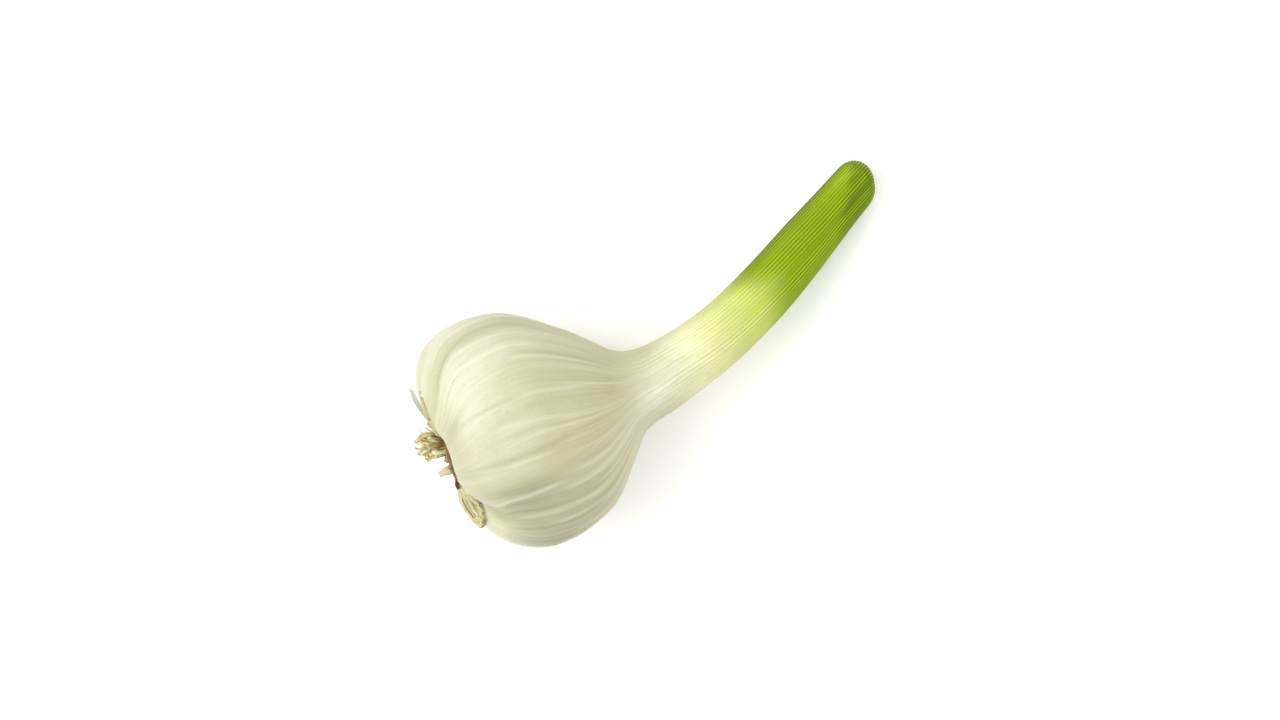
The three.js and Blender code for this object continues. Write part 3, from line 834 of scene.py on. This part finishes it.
def skin_material():
    recipe = Recipe("fresh_skin")
    grain = recipe.field("grain", "Vector")
    height, green, tone = recipe.field("height"), recipe.field("greening"), recipe.field("tone")
    pleat, raised, stripe = recipe.field("pleat"), recipe.field("vein"), recipe.field("stripe")
    neck = height.between(24, 42) * (1 - height.between(52, 64))
    streaks = recipe.noise(recipe.stretched(grain, (1.8, 1.8, 0.03)), 1.0, 4)
    fine = recipe.noise(recipe.stretched(grain, (6, 6, 0.06)), 1.0, 3)
    clouds = recipe.noise(grain, 0.09, 3)
    mottle = recipe.noise(recipe.stretched(grain, (1, 1, 0.4)), 0.7, 4)
    flecks = recipe.noise(recipe.stretched(grain, (4, 4, 0.5)), 1.0, 3)
    specks = recipe.noise(recipe.stretched(grain, (1, 1, 0.8)), 3.1, 2)

    # the bulb: cream, a cooler green-grey towards the neck, and yellower where the stalk begins
    cream = recipe.ramp(
        height / COLOUR_SPAN,
        [
            (0.0, colour(203, 202, 172)),
            (0.08, colour(204, 204, 178)),
            (0.22, colour(200, 197, 166)),
            (0.33, colour(192, 189, 156)),
            (0.42, colour(196, 194, 162)),
            (0.46, colour(214, 212, 180)),
            (0.51, colour(240, 239, 194)),
            (0.56, colour(220, 223, 152)),
            (0.61, colour(202, 210, 112)),
            (0.66, colour(190, 207, 66)),
            (0.7, colour(174, 198, 44)),
        ],
    )
    # The raised veins and pleats are paler, partly the skin's own pale lines and partly a painted highlight
    # on the ridges.
    pale_and_highlit_ridges = raised * 0.3 + recipe.field("fine_vein") * 0.16 + pleat * 0.1
    bulb = recipe.coats(
        cream,
        [
            # painted light (+) and painted shade (-) from the tone field
            (tone, colour(233, 235, 212)),
            (0 - tone, colour(128, 126, 92)),
            (recipe.field("stain") * (0.3 + 0.8 * streaks), colour(176, 160, 106)),
            # painted shade in the grooves, with less of it on the raised pleats
            (recipe.field("groove") * 0.25 - pleat * 0.3 + 0.04, colour(162, 158, 118)),
            (streaks.between(0.42, 0.72) * (0.22 + 0.2 * neck), colour(178, 172, 132)),
            (fine.between(0.5, 0.8) * (0.2 + 0.15 * neck), colour(226, 224, 200)),
            (clouds.between(0.4, 0.75) * 0.3, colour(178, 176, 142)),
            (mottle.between(0.45, 0.7) * 0.22, colour(186, 176, 136)),
            (flecks.between(0.56, 0.74) * 0.28, colour(178, 160, 108)),
            # painted shade along the pressed-in veins
            ((0 - raised) * 0.25, colour(150, 140, 98)),
            (pale_and_highlit_ridges, colour(236, 234, 210)),
            (recipe.field("near_root") * (0.25 + 0.5 * mottle), colour(186, 178, 126)),
            ((0 - recipe.field("wrinkle")) * 0.7 * mottle, colour(150, 108, 52)),
        ],
    )

    # the stalk: yellow-green, darker green at the tip (in part painted shade), with painted light and shade
    # from tone
    leaf = recipe.coats(
        colour(134, 158, 6),
        [
            (mottle.between(0.4, 0.7) * 0.4, colour(114, 140, 0)),
            # painted light (+) and painted shade (-) from the tone field; the darker tip is in part painted
            # shade
            (tone, colour(190, 206, 70)),
            (recipe.field("dark_tip") * 0.85, colour(88, 116, 0)),
            (0 - tone, colour(72, 88, 10)),
        ],
    )

    # the cut end: green outside, pale in the middle, and pale where the knife split the ribs
    cut = recipe.ramp(
        recipe.field("from_axis") / CUT_SPAN,
        [
            (0.0, colour(226, 232, 160)),
            (0.4, colour(206, 218, 120)),
            (0.7, colour(176, 196, 70)),
            (0.95, colour(140, 166, 40)),
        ],
    )
    near_cut = height.between(*(STALK_END - distance for distance in SPLIT_SPAN))
    split = near_cut * (0.15 + 0.6 * stripe.between(-0.2, 0.6))

    # the whole skin, with the stripes that the stalk's ribs carry
    light_stripe = stripe.between(0.1, 0.8) * (0.28 + 0.32 * green) * (0.3 + 1.3 * streaks)
    dark_stripe = (0 - stripe).between(0.1, 0.8) * (0.26 + 0.3 * green) * (0.3 + 1.3 * fine)
    skin = recipe.coats(
        bulb,
        [
            (green, leaf),
            (light_stripe, recipe.mix(green * 2, colour(248, 247, 206), colour(178, 202, 22))),
            (dark_stripe, recipe.mix(green, colour(190, 196, 104), colour(92, 124, 0))),
            (split, colour(214, 226, 134)),
            (recipe.field("cut"), cut),
            (specks.between(0.72, 0.78) * (1 - green) * 0.55, colour(128, 104, 62)),
        ],
    )
    return recipe.finish(
        {
            "Base Color": skin,
            "Roughness": 0.38 + 0.16 * mottle + 0.08 * fine,
            "Normal": recipe.bump(streaks * 0.5 + fine * 0.35 + mottle * 0.15, 0.12),
            "Coat Weight": 0.3 - 0.26 * green,
            "Coat Roughness": 0.38,
            "Subsurface Weight": 0.2,
            "Subsurface Radius": (1.0, 0.9, 0.5),
            "Subsurface Scale": 0.0008,
            "Specular IOR Level": 0.12,
        }
    )


# ------------------------------------------------------------------ root plate and roots

PLATE_PROFILE = [
    (0.0, 0.2),
    (1.4, 0.0),
    (2.6, -0.15),
    (4.6, -0.1),
    (5.8, 0.1),
    (6.3, 0.6),
    (6.3, 1.2),
    (6.0, 1.7),
]
PLATE_AROUND, PLATE_STEP, PLATE_LUMPS = 96, 0.3, 0.22
PLATE_BACK = [(3, 1.7), (0, 1.7)]
ROOT_SINK = 0.7  # how deep in the plate a root starts
ROOT_SIDES, ROOT_STEP = 10, 0.35

# Roots: [angle and radius at the plate, angle, radius and height at the tip, bow, thickness].
# The bow lifts the middle of the root away from the bulb.
TUFT = [
    (52, 4.8, 56, 9.4, -3.4, 1.6, 1.2),
    (60, 5.4, 66, 8.4, -2.2, 0.6, 1.4),
    (64, 4.4, 76, 9.0, -4.6, -1.2, 1.3),
    (76, 5.0, 86, 9.0, -4.6, 1.2, 1.2),
    (86, 3.6, 62, 5.8, -5.5, -1.0, 1.4),
    (96, 5.0, 98, 7.6, -5.3, 0.8, 1.2),
    (104, 4.0, 86, 5.2, -5.4, 1.2, 1.3),
    (70, 2.8, 50, 3.6, -5.0, -0.8, 1.4),
    (118, 4.6, 124, 8.0, -3.6, 1.0, 1.2),
    (84, 5.2, 70, 7.4, -6.0, 0.4, 1.1),
    (60, 3.6, 38, 5.2, -3.0, 1.2, 1.2),
    (92, 4.4, 90, 11.0, -3.4, 1.4, 0.6),
    (106, 5.2, 76, 6.8, -3.8, 2.6, 1.2),
    (80, 5.6, 75, 8.8, -5.3, -6.0, 1.1),
    (98, 5.6, 80, 9.0, -3.0, -3.2, 1.1),
]
CROSSED = [
    (100, 5.4, 45, 5.0, -4.9, 1.0, 1.2),
    (50, 4.2, 84, 8.4, -3.0, 2.4, 1.1),
    (118, 5.0, 60, 6.6, -4.4, 0.4, 1.2),
    (36, 5.0, 58, 4.6, -3.2, 1.6, 1.2),
    (88, 5.8, 54, 4.8, -5.1, -1.6, 1.3),
    (74, 5.9, 56, 5.8, -5.5, -2.4, 1.2),
    (50, 4.2, 78, 8.6, -5.2, -0.4, 1.3),
    (46, 4.4, 40, 3.5, -3.1, 0.2, 1.6),
    (30, 4.8, 44, 6.0, -2.4, 0.6, 1.2),
]
# Thin ones that lie along the bulb's edge, towards the largest torn flap.
EDGE_ROOTS = [
    (100, 5.6, 88, 14.5, -1.5, -0.6, 0.5),
    (95, 5.6, 86, 17.5, -1.1, -0.8, 0.45),
    (92, 5.8, 86, 10.8, -1.2, -0.6, 1.0),
    (86, 5.9, 80, 10.2, -2.0, -0.8, 1.0),
]
# Grey scraps of skin that are caught in the tuft.
SCRAPS = [(86, 5.0, 88, 9.2, -3.6, 0.0, 1.6), (96, 4.0, 98, 5.9, -5.9, 0.0, 2.2)]
# Strands that cling to the clove's shoulder below that flap: [angle and radius on the way], thickness.
CLINGING = [
    ([(56, 6.5), (40, 11.5), (37, 16.5), (44, 20.0), (51, 21.5)], 1.1),
    ([(60, 6.5), (46, 11.5), (42, 16.0), (49, 19.5), (57, 21.5)], 0.8),
    ([(50, 6.5), (37, 11.0), (32, 15.0), (37, 18.5)], 0.9),
]
SHORT_ROOT = (-40, 2.6, -42, 2.7, -4.0, -0.4, 2.6)
DARK_STUB = (-60, 5.6, -62, 7.8, -1.0, 0.5, 1.1)
FAN = [
    (-84, 5.6, -79, 18.2, -0.2, 3.4, 1.1),
    (-80, 5.8, -74, 18.6, 0.2, 2.9, 1.2),
    (-76, 5.8, -70, 19.0, 0.6, 2.2, 1.2),
    (-72, 5.9, -66, 19.3, 1.1, 1.5, 1.2),
    (-70, 5.9, -63, 18.6, 1.3, 1.1, 1.2),
    (-68, 5.9, -60, 19.6, 1.6, 0.9, 1.3),
    (-64, 5.9, -56, 19.8, 2.2, 0.6, 1.1),
    (-60, 5.9, -53, 18.6, 2.5, 0.6, 1.0),
]
SHORT_FAN = [(-78, 5.9, -72, 15.5, -0.9, 1.8, 1.0), (-70, 5.9, -63, 14.5, 0.4, 1.4, 1.0)]
STUBS, HAIRS = 26, 8
GOLDEN_ANGLE = 137.5
ROOT_SEED = 17
# The number that a root's colours go by: a dark crust up to 0.5, straw with a brown foot at 1, the foot's
# brown in part painted shade, and pale from 2 on. In between the colours blend.
KINDS = {
    "dark stub": -1.0,
    "plate": 0.0,
    "stub": 0.2,
    "tuft": 1.0,
    "edge": 1.2,
    "hair": 1.4,
    "crossed": 1.5,
    "clinging": 1.8,
    "fan": 2.0,
    "short root": 2.4,
    "scrap": 3.0,
}


def bezier(start, middle, end, count):
    """Points on the curve from start to end that leaves and arrives in line with middle."""
    t = np.linspace(0, 1, count)[:, None]
    return (1 - t) ** 2 * start + 2 * t * (1 - t) * middle + t**2 * end


def root_path(angle, radius, tip_angle, tip_radius, tip_height, bow):
    """The middle line of a root from inside the plate to its tip."""
    radii = np.array([radius, (radius + tip_radius) / 2, tip_radius], float)
    angles = np.array([angle, (angle + tip_angle) / 2, tip_angle], float)
    foot = ROOT_SINK + root_end_shift(radii[:1], np.zeros(1), angles[:1])[0]
    heights = np.array([foot, tip_height - bow, tip_height])
    start, middle, end = place(radii, heights, angles)
    return bezier(start, middle, end, 60)


def clinging_path(route):
    """The middle line of a strand that follows the bulb's surface over [angle, radius] points."""
    angles, radii = np.array(spline(route, 12)).T
    lift = 0.3 + 0.3 * (1 - smooth(radii, 9, 13))
    return place(radii, root_end_height(radii, angles) - lift, angles)


def strand(path, thick, draw, stray=0.3, flat=0.6, taper=0.55, curl=0.0, broad=1.0, face=None):
    """A dried root along a path: a wrinkled, flattened and twisted tube. Also gives its fields."""
    path = even(path, ROOT_STEP)
    count = len(path)
    t = np.linspace(0, 1, count)
    along = unit(np.gradient(path, axis=0))
    side = unit(np.cross(along, (0, 0, 1)))
    other = np.cross(along, side)
    length = run_length(path)[-1]

    # its way strays to both sides, and curls towards the tip
    for direction in (side, other):
        waves = sum(
            draw.uniform(0.3, 1) / k * np.sin(t * length * k / 2.0 + draw.uniform(0, tau)) for k in (1, 2)
        )
        path = path + direction * (waves * stray * smooth(t, 0, 0.35))[:, None]
    if curl:
        spin = 0.8 * tau * t**2
        path = path + curl * (side * np.sin(spin)[:, None] + other * np.cos(spin)[:, None]) * (t**2)[:, None]

    # a tube with a ring of points for each station on that way: flat, twisted, and ridged lengthwise
    outline = [(0, 0)] + [(1, i) for i in range(count)] + [(0, count - 1)]
    mesh = spun(outline, ROOT_SIDES)
    radius, ring, around = round_axis(mesh)
    station = np.clip(np.round(ring).astype(int), 0, count - 1)
    turned = 140 * t[station] * draw.uniform(-1, 1) + draw.uniform(0, 360) if face is None else face
    width = broad * thick / 2 * (1 - (1 - taper) * t[station])
    width = width * (1 + 0.1 * np.sin(ring * 0.9 + draw.uniform(0, tau)))
    lobes = 1 + 0.12 * cosine(3 * around + 25 * ring) + 0.08 * cosine(5 * around - 40 * ring)
    sway = 40 * np.sin(t[station] * 5 + draw.uniform(0, tau)) * (face is None)
    across, over = cosine(around) * width * lobes * radius, sine(around) * width * lobes * flat * radius
    cos_turn, sin_turn = cosine(turned + sway), sine(turned + sway)
    points = path[station]
    points = points + side[station] * (across * cos_turn - over * sin_turn)[:, None]
    points = points + other[station] * (across * sin_turn + over * cos_turn)[:, None]
    move(mesh, points)
    tone = np.full(len(radius), draw.uniform(0, 1))
    run = np.column_stack([around / 60, ring * ROOT_STEP, tone * 40])
    return mesh, {"tip": t[station], "tone": tone, "run": run}


def companion(row, draw, astray=12):
    """A thinner root that keeps near another one."""
    angle, radius, tip_angle, tip_radius, tip_height, bow, thick = row
    angle, radius = angle + draw.uniform(-0.7, 0.7) * astray, radius * 0.9
    tip_angle, tip_radius = tip_angle + draw.uniform(-1, 1) * astray, tip_radius * draw.uniform(0.75, 1)
    return angle, radius, tip_angle, tip_radius, tip_height * 0.85, bow, thick * 0.65


def trimmed(i, draw):
    """Number i of the roots trimmed off short, in turns of the golden angle."""
    angle = GOLDEN_ANGLE * i + draw.uniform(-8, 8)
    radius = 1.4 + 3.8 * ((i + 0.5) / STUBS) ** 0.5
    out = draw.uniform(0.4, 0.9)
    tip_angle = angle + draw.uniform(-12, 12)
    return angle, radius, tip_angle, radius + out / 2, -0.3 - out, 0, draw.uniform(0.9, 1.4)


def hair(draw):
    """A root as fine as a hair, somewhere in the tuft."""
    angle, tip_angle, tip_radius = draw.uniform(40, 125), draw.uniform(45, 115), draw.uniform(6, 11)
    return angle, 4.5, tip_angle, tip_radius, draw.uniform(-4.5, -1.5), draw.uniform(-1, 2), 0.3


def root_plate(material):
    """The corky plate at the root end, and the dried roots that grow out of it."""
    draw = np.random.default_rng(ROOT_SEED)
    plate_line = even(spline(PLATE_PROFILE, 8), PLATE_STEP).tolist()
    plate = spun(plate_line + PLATE_BACK, PLATE_AROUND)
    radius, height, angle = round_axis(plate)
    none = np.zeros_like(radius)
    lumps = PLATE_LUMPS * sine(7 * angle + np.degrees(height)) * smooth(radius, 1, 6)
    pits = PLATE_LUMPS * cosine(13 * angle + 60 * cosine(3 * angle)) * np.sin(radius * 2.3)
    pits = pits * smooth(radius, 0.5, 3) * (height < 0.8)
    shift = root_end_shift(radius, none, angle)
    move(plate, place(radius + lumps, height + shift + pits, angle))
    run = np.column_stack([radius, height, angle / 20])
    made = [(plate, {"tip": none, "tone": none + 0.2, "run": run, "kind": none + KINDS["plate"]})]

    def grow(kind, rows, tone=None, path=root_path, **shape):
        """One strand for each row."""
        for *row, thick in rows:
            mesh, fields = strand(path(*row), thick, draw, **shape)
            if tone is not None:
                fields["tone"][:] = tone
            fields["kind"] = np.full(len(fields["tip"]), KINDS[kind])
            made.append((mesh, fields))

    grow("tuft", TUFT, stray=0.35, flat=0.22, taper=0.75, curl=0.12)
    grow("crossed", CROSSED, tone=0.9, stray=0.12, flat=0.16, taper=0.85, broad=1.2)
    beside = [companion(row, draw) for row in TUFT[::2]]
    grow("tuft", beside, stray=0.5, flat=0.4, taper=0.7, curl=0.15)
    grow("edge", EDGE_ROOTS, stray=0.15, flat=0.6, taper=0.7)
    grow("short root", [SHORT_ROOT], stray=0.05, flat=0.25, taper=0.55, face=0)
    grow("dark stub", [DARK_STUB], stray=0, flat=0.8, taper=0.95)
    grow("fan", FAN + SHORT_FAN, stray=0.2, flat=0.5, taper=0.6, broad=1.15)
    beside = [companion(row, draw, astray=3) for row in FAN]
    grow("fan", beside, stray=0.3, flat=0.5, taper=0.5, broad=1.3)
    grow("stub", [trimmed(i, draw) for i in range(STUBS)], stray=0.1, flat=0.8, taper=0.85)
    grow("hair", [hair(draw) for _ in range(HAIRS)], stray=0.5, flat=0.8, taper=0.3)
    grow("scrap", SCRAPS, stray=0.1, flat=0.08, taper=0.9, face=0)
    grow("clinging", CLINGING, tone=0.8, path=clinging_path, stray=0.15, flat=0.45, taper=0.5)
    meshes, fields = zip(*made)
    together = {name: np.concatenate([field[name] for field in fields]) for name in fields[0]}
    return piece("root_plate", joined(meshes), material, "root_plate", together)


def root_material():
    recipe = Recipe("dry_root")
    run = recipe.field("run", "Vector")
    tip, tone, kind = recipe.field("tip"), recipe.field("tone"), recipe.field("kind")
    blotches = recipe.noise(run, 0.6, 3)
    fibres = recipe.noise(recipe.stretched(run, (3, 0.5, 1)), 1.6, 3)
    straw = recipe.mix(tone, colour(226, 214, 142), colour(254, 250, 202))
    brown = recipe.mix(blotches, colour(92, 60, 8), colour(172, 128, 46))
    pale = recipe.mix(blotches.between(0.35, 0.8), colour(238, 236, 200), colour(206, 198, 140))
    pale = recipe.mix(kind.between(2.1, 2.4), pale, colour(224, 219, 190))
    crust = recipe.mix(blotches.between(0.35, 0.7), colour(72, 54, 24), colour(156, 134, 86))
    # The brown foot: in part the roots' own older brown, in part painted shade where the strands crowd at the
    # plate.
    brown_and_shaded_foot = (1 - tip.between(0.24, 0.66)) * (1 - kind.between(1.0, 2.0)) * 0.95
    dark_end = tip.between(0.94, 1.0) * kind.between(1.2, 2.0) * (1 - kind.between(2.1, 2.4))
    body = recipe.coats(
        straw,
        [
            (brown_and_shaded_foot + blotches.between(0.5, 0.8) * 0.25, brown),
            (kind.between(1.5, 2.0), pale),
            (dark_end * 0.7, colour(128, 100, 62)),
            ((1 - kind.between(0.0, 0.5)) * 0.8, crust),
            (fibres.between(0.5, 0.8) * 0.4, colour(140, 112, 62)),
            (0 - kind, colour(96, 50, 18)),
            (kind.between(2.5, 3.0), colour(206, 204, 212)),
        ],
    )
    return recipe.finish(
        {"Base Color": body, "Roughness": 0.72 + 0.2 * fibres, "Normal": recipe.bump(fibres, 0.15)},
        through=colour(248, 234, 150),
        share=0.25,
    )


# ------------------------------------------------------------------ torn skin

# The angles between which it lies, as it is gone where the straight roots are. Towards both ends it
# narrows, over so many degrees and down to this share of its width.
TORN_ARC, ARC_END, ARC_END_WIDTH = (-26, 262), 15, 0.3
TORN_START, TORN_HEM = 7.4, 10.2  # the radii of its inner edge and of its hem
TORN_GAP, TORN_THICKNESS = 0.25, 0.14
# The flaps: the angle of the middle, how far out it reaches, half the width, and how much it lifts off.
FLAPS = [
    (90, 20.6, 16, 0.0),
    (134, 15.0, 13, 0.5),
    (181, 17.5, 17, 0.4),
    (232, 14.0, 13, 0.5),
    (22, 11.4, 12, 0.1),
]
FOLD_CURL, FOLD_FROM, FOLD_TO = 1.45, (79, 91), (108, 126)  # the largest flap is folded out on one side
LEAST_CURL, CURL_LENGTH = 0.2, 12  # the lift of the rest, and the distance over which each lift is reached
RIPPLE, FRAY = 0.5, 0.25  # how far the hem runs in and out, in long waves and in short ones
WAVE, TORN_PLEATS, TORN_PLEAT_HEIGHT = 0.22, 90, 0.07
TORN_ALONG, TORN_ACROSS = 360, 26


def torn_edge(angle):
    """The torn edge's radius: a ragged hem, and the flaps that reach further out."""
    ripple = RIPPLE * (sine(11 * angle) + 0.6 * sine(23 * angle + 40))
    ragged = FRAY * (sine(61 * angle + 30 * sine(7 * angle)) + 0.6 * sine(97 * angle))
    flap = 0
    for at, reach, half, _ in FLAPS:
        hump = np.maximum(0, 1 - (turn(angle, at) / half) ** 2) ** 0.6
        flap = np.maximum(flap, (reach - TORN_HEM) * hump)
    return TORN_HEM + ripple + ragged + flap


def torn_skin(material):
    """What is left of an outer skin round the root plate. The field "out" is 0 inside and 1 at the edge."""
    mesh = bmesh.new()
    bmesh.ops.create_grid(mesh, x_segments=TORN_ACROSS, y_segments=TORN_ALONG, size=0.5)
    out, along, _ = points_of(mesh).T + 0.5
    start, end = TORN_ARC
    angle = start + (end - start) * along
    full = smooth(np.minimum(angle - start, end - angle), 0, ARC_END)
    narrow = ARC_END_WIDTH + (1 - ARC_END_WIDTH) * full
    radius = TORN_START + (torn_edge(angle) - TORN_START) * narrow * out
    curl = LEAST_CURL + sum(lifted * bell(turn(angle, at), half * 1.4) for at, _, half, lifted in FLAPS)
    curl = curl + FOLD_CURL * smooth(angle, *FOLD_FROM) * (1 - smooth(angle, *FOLD_TO))
    lift = curl * np.maximum(0, (radius - TORN_START) / CURL_LENGTH) ** 0.8
    wave = WAVE * sine(19 * angle + 40 * out) * out**2 + 0.1 * cosine(43 * angle) * out
    pleats = TORN_PLEAT_HEIGHT * cosine(TORN_PLEATS * angle + 12 * sine(9 * angle))
    height = root_end_height(radius, angle) - TORN_GAP - lift - 0.5 * (wave + WAVE) * out - pleats
    move(mesh, place(radius, height, angle))
    fields = {"grain": lengthwise(angle, radius), "out": out}
    return piece("torn_skin", mesh, material, "torn_skin", fields, thickness=TORN_THICKNESS)


def torn_material():
    recipe = Recipe("dry_skin")
    grain, out = recipe.field("grain", "Vector"), recipe.field("out")
    fibres = recipe.noise(recipe.stretched(grain, (3, 3, 0.12)), 1.0, 4)
    body = recipe.coats(
        colour(222, 219, 204),
        [
            (recipe.noise(grain, 0.35, 3), colour(202, 196, 172)),
            (fibres.between(0.5, 0.75) * 0.3, colour(186, 168, 124)),
            ((1 - out.between(0.0, 0.2)) * 0.4, colour(160, 130, 84)),
            (out.between(0.5, 0.9) * 0.7, colour(216, 216, 213)),
        ],
    )
    return recipe.finish(
        {"Base Color": body, "Roughness": 0.5 + 0.3 * fibres, "Normal": recipe.bump(fibres, 0.2)},
        through=colour(238, 238, 234),
        share=out.between(0.0, 0.6) * 0.6,
    )


# ------------------------------------------------------------------ floor, light and camera

IMAGE_WIDTH, IMAGE_HEIGHT = 1280, 720
ROOT_PIXEL = (452, 462)  # where the middle of the root end is in the image
ROOT_POINT = (-16, 0, 27.1)  # and where it is on the bulb
MM_PER_PIXEL = 0.2432
VIEW_TILT, VIEW_ROLL = radians(9), radians(26)
LENS, SENSOR = 85, 36
FLOOR_GLOW, SKY_STRENGTH = 0.12, 0.88  # a lit table and a bright room, which leave only faint shadows
# Lights and floor are given in metres: what both lights point at, and how far the floor reaches.
LIT_POINT, FLOOR_REACH = (0.03, 0, 0.02), 3


def camera():
    """Looks down on the bulb, tilted towards the root end and turned in the image."""
    distance = IMAGE_WIDTH * MM_PER_PIXEL * LENS / SENSOR
    look = Vector((-sin(VIEW_TILT), 0, -cos(VIEW_TILT)))
    level = Vector((cos(VIEW_TILT), 0, -sin(VIEW_TILT)))
    upright = (-look).cross(level)
    right = cos(VIEW_ROLL) * level - sin(VIEW_ROLL) * upright
    up = sin(VIEW_ROLL) * level + cos(VIEW_ROLL) * upright
    column, row = ROOT_PIXEL
    target = Vector(ROOT_POINT)
    target -= right * (column - IMAGE_WIDTH / 2) * MM_PER_PIXEL
    target -= up * (IMAGE_HEIGHT / 2 - row) * MM_PER_PIXEL
    data = bpy.data.cameras.new("camera")
    data.lens, data.sensor_width = LENS, SENSOR
    made = linked("camera", data)
    turned = made.matrix_world.to_3x3()
    turned.col[0], turned.col[1], turned.col[2] = right, up, -look
    made.matrix_world = turned.to_4x4()
    made.location = (target - look * distance) * MM
    bpy.context.scene.camera = made


def soft_light(name, toward, distance, size, power):
    """A round light that stands off in one direction and points at the bulb."""
    data = bpy.data.lights.new(name, "AREA")
    data.shape, data.size, data.energy = "DISK", size, power
    made = linked(name, data)
    direction = Vector(toward).normalized()
    made.location = Vector(LIT_POINT) + direction * distance
    made.rotation_euler = direction.to_track_quat("Z", "Y").to_euler()
    made.visible_camera = False


def floor():
    mesh = bmesh.new()
    bmesh.ops.create_grid(mesh, x_segments=8, y_segments=8, size=FLOOR_REACH)
    data = as_data("floor", mesh)
    recipe = Recipe("pale_floor")
    grain = recipe.noise(recipe.add("ShaderNodeTexCoord", output="Object"), 60, 3)
    inputs = {
        "Base Color": recipe.mix(grain, colour(244, 244, 244), colour(248, 248, 247)),
        "Roughness": 0.8,
        "Emission Color": colour(255, 255, 255),
        "Emission Strength": FLOOR_GLOW,
    }
    data.materials.append(recipe.finish(inputs))
    linked("floor", data)


def light():
    world = bpy.data.worlds.new("studio")
    world.use_nodes = True
    background = world.node_tree.nodes["Background"]
    background.inputs["Color"].default_value = (1, 1, 1, 1)
    background.inputs["Strength"].default_value = SKY_STRENGTH
    bpy.context.scene.world = world
    soft_light("key", toward=(-0.7, 0.45, 1), distance=0.9, size=0.8, power=3.9)
    soft_light("top", toward=(0.1, 0.1, 1), distance=1.1, size=1.5, power=3.4)
    bpy.context.scene.view_settings.view_transform = "Standard"


# ------------------------------------------------------------------ the scene

bulb_and_stalk(skin_material())
root_plate(root_material())
torn_skin(torn_material())
camera()
light()
floor()

bpy.context.view_layer.update()
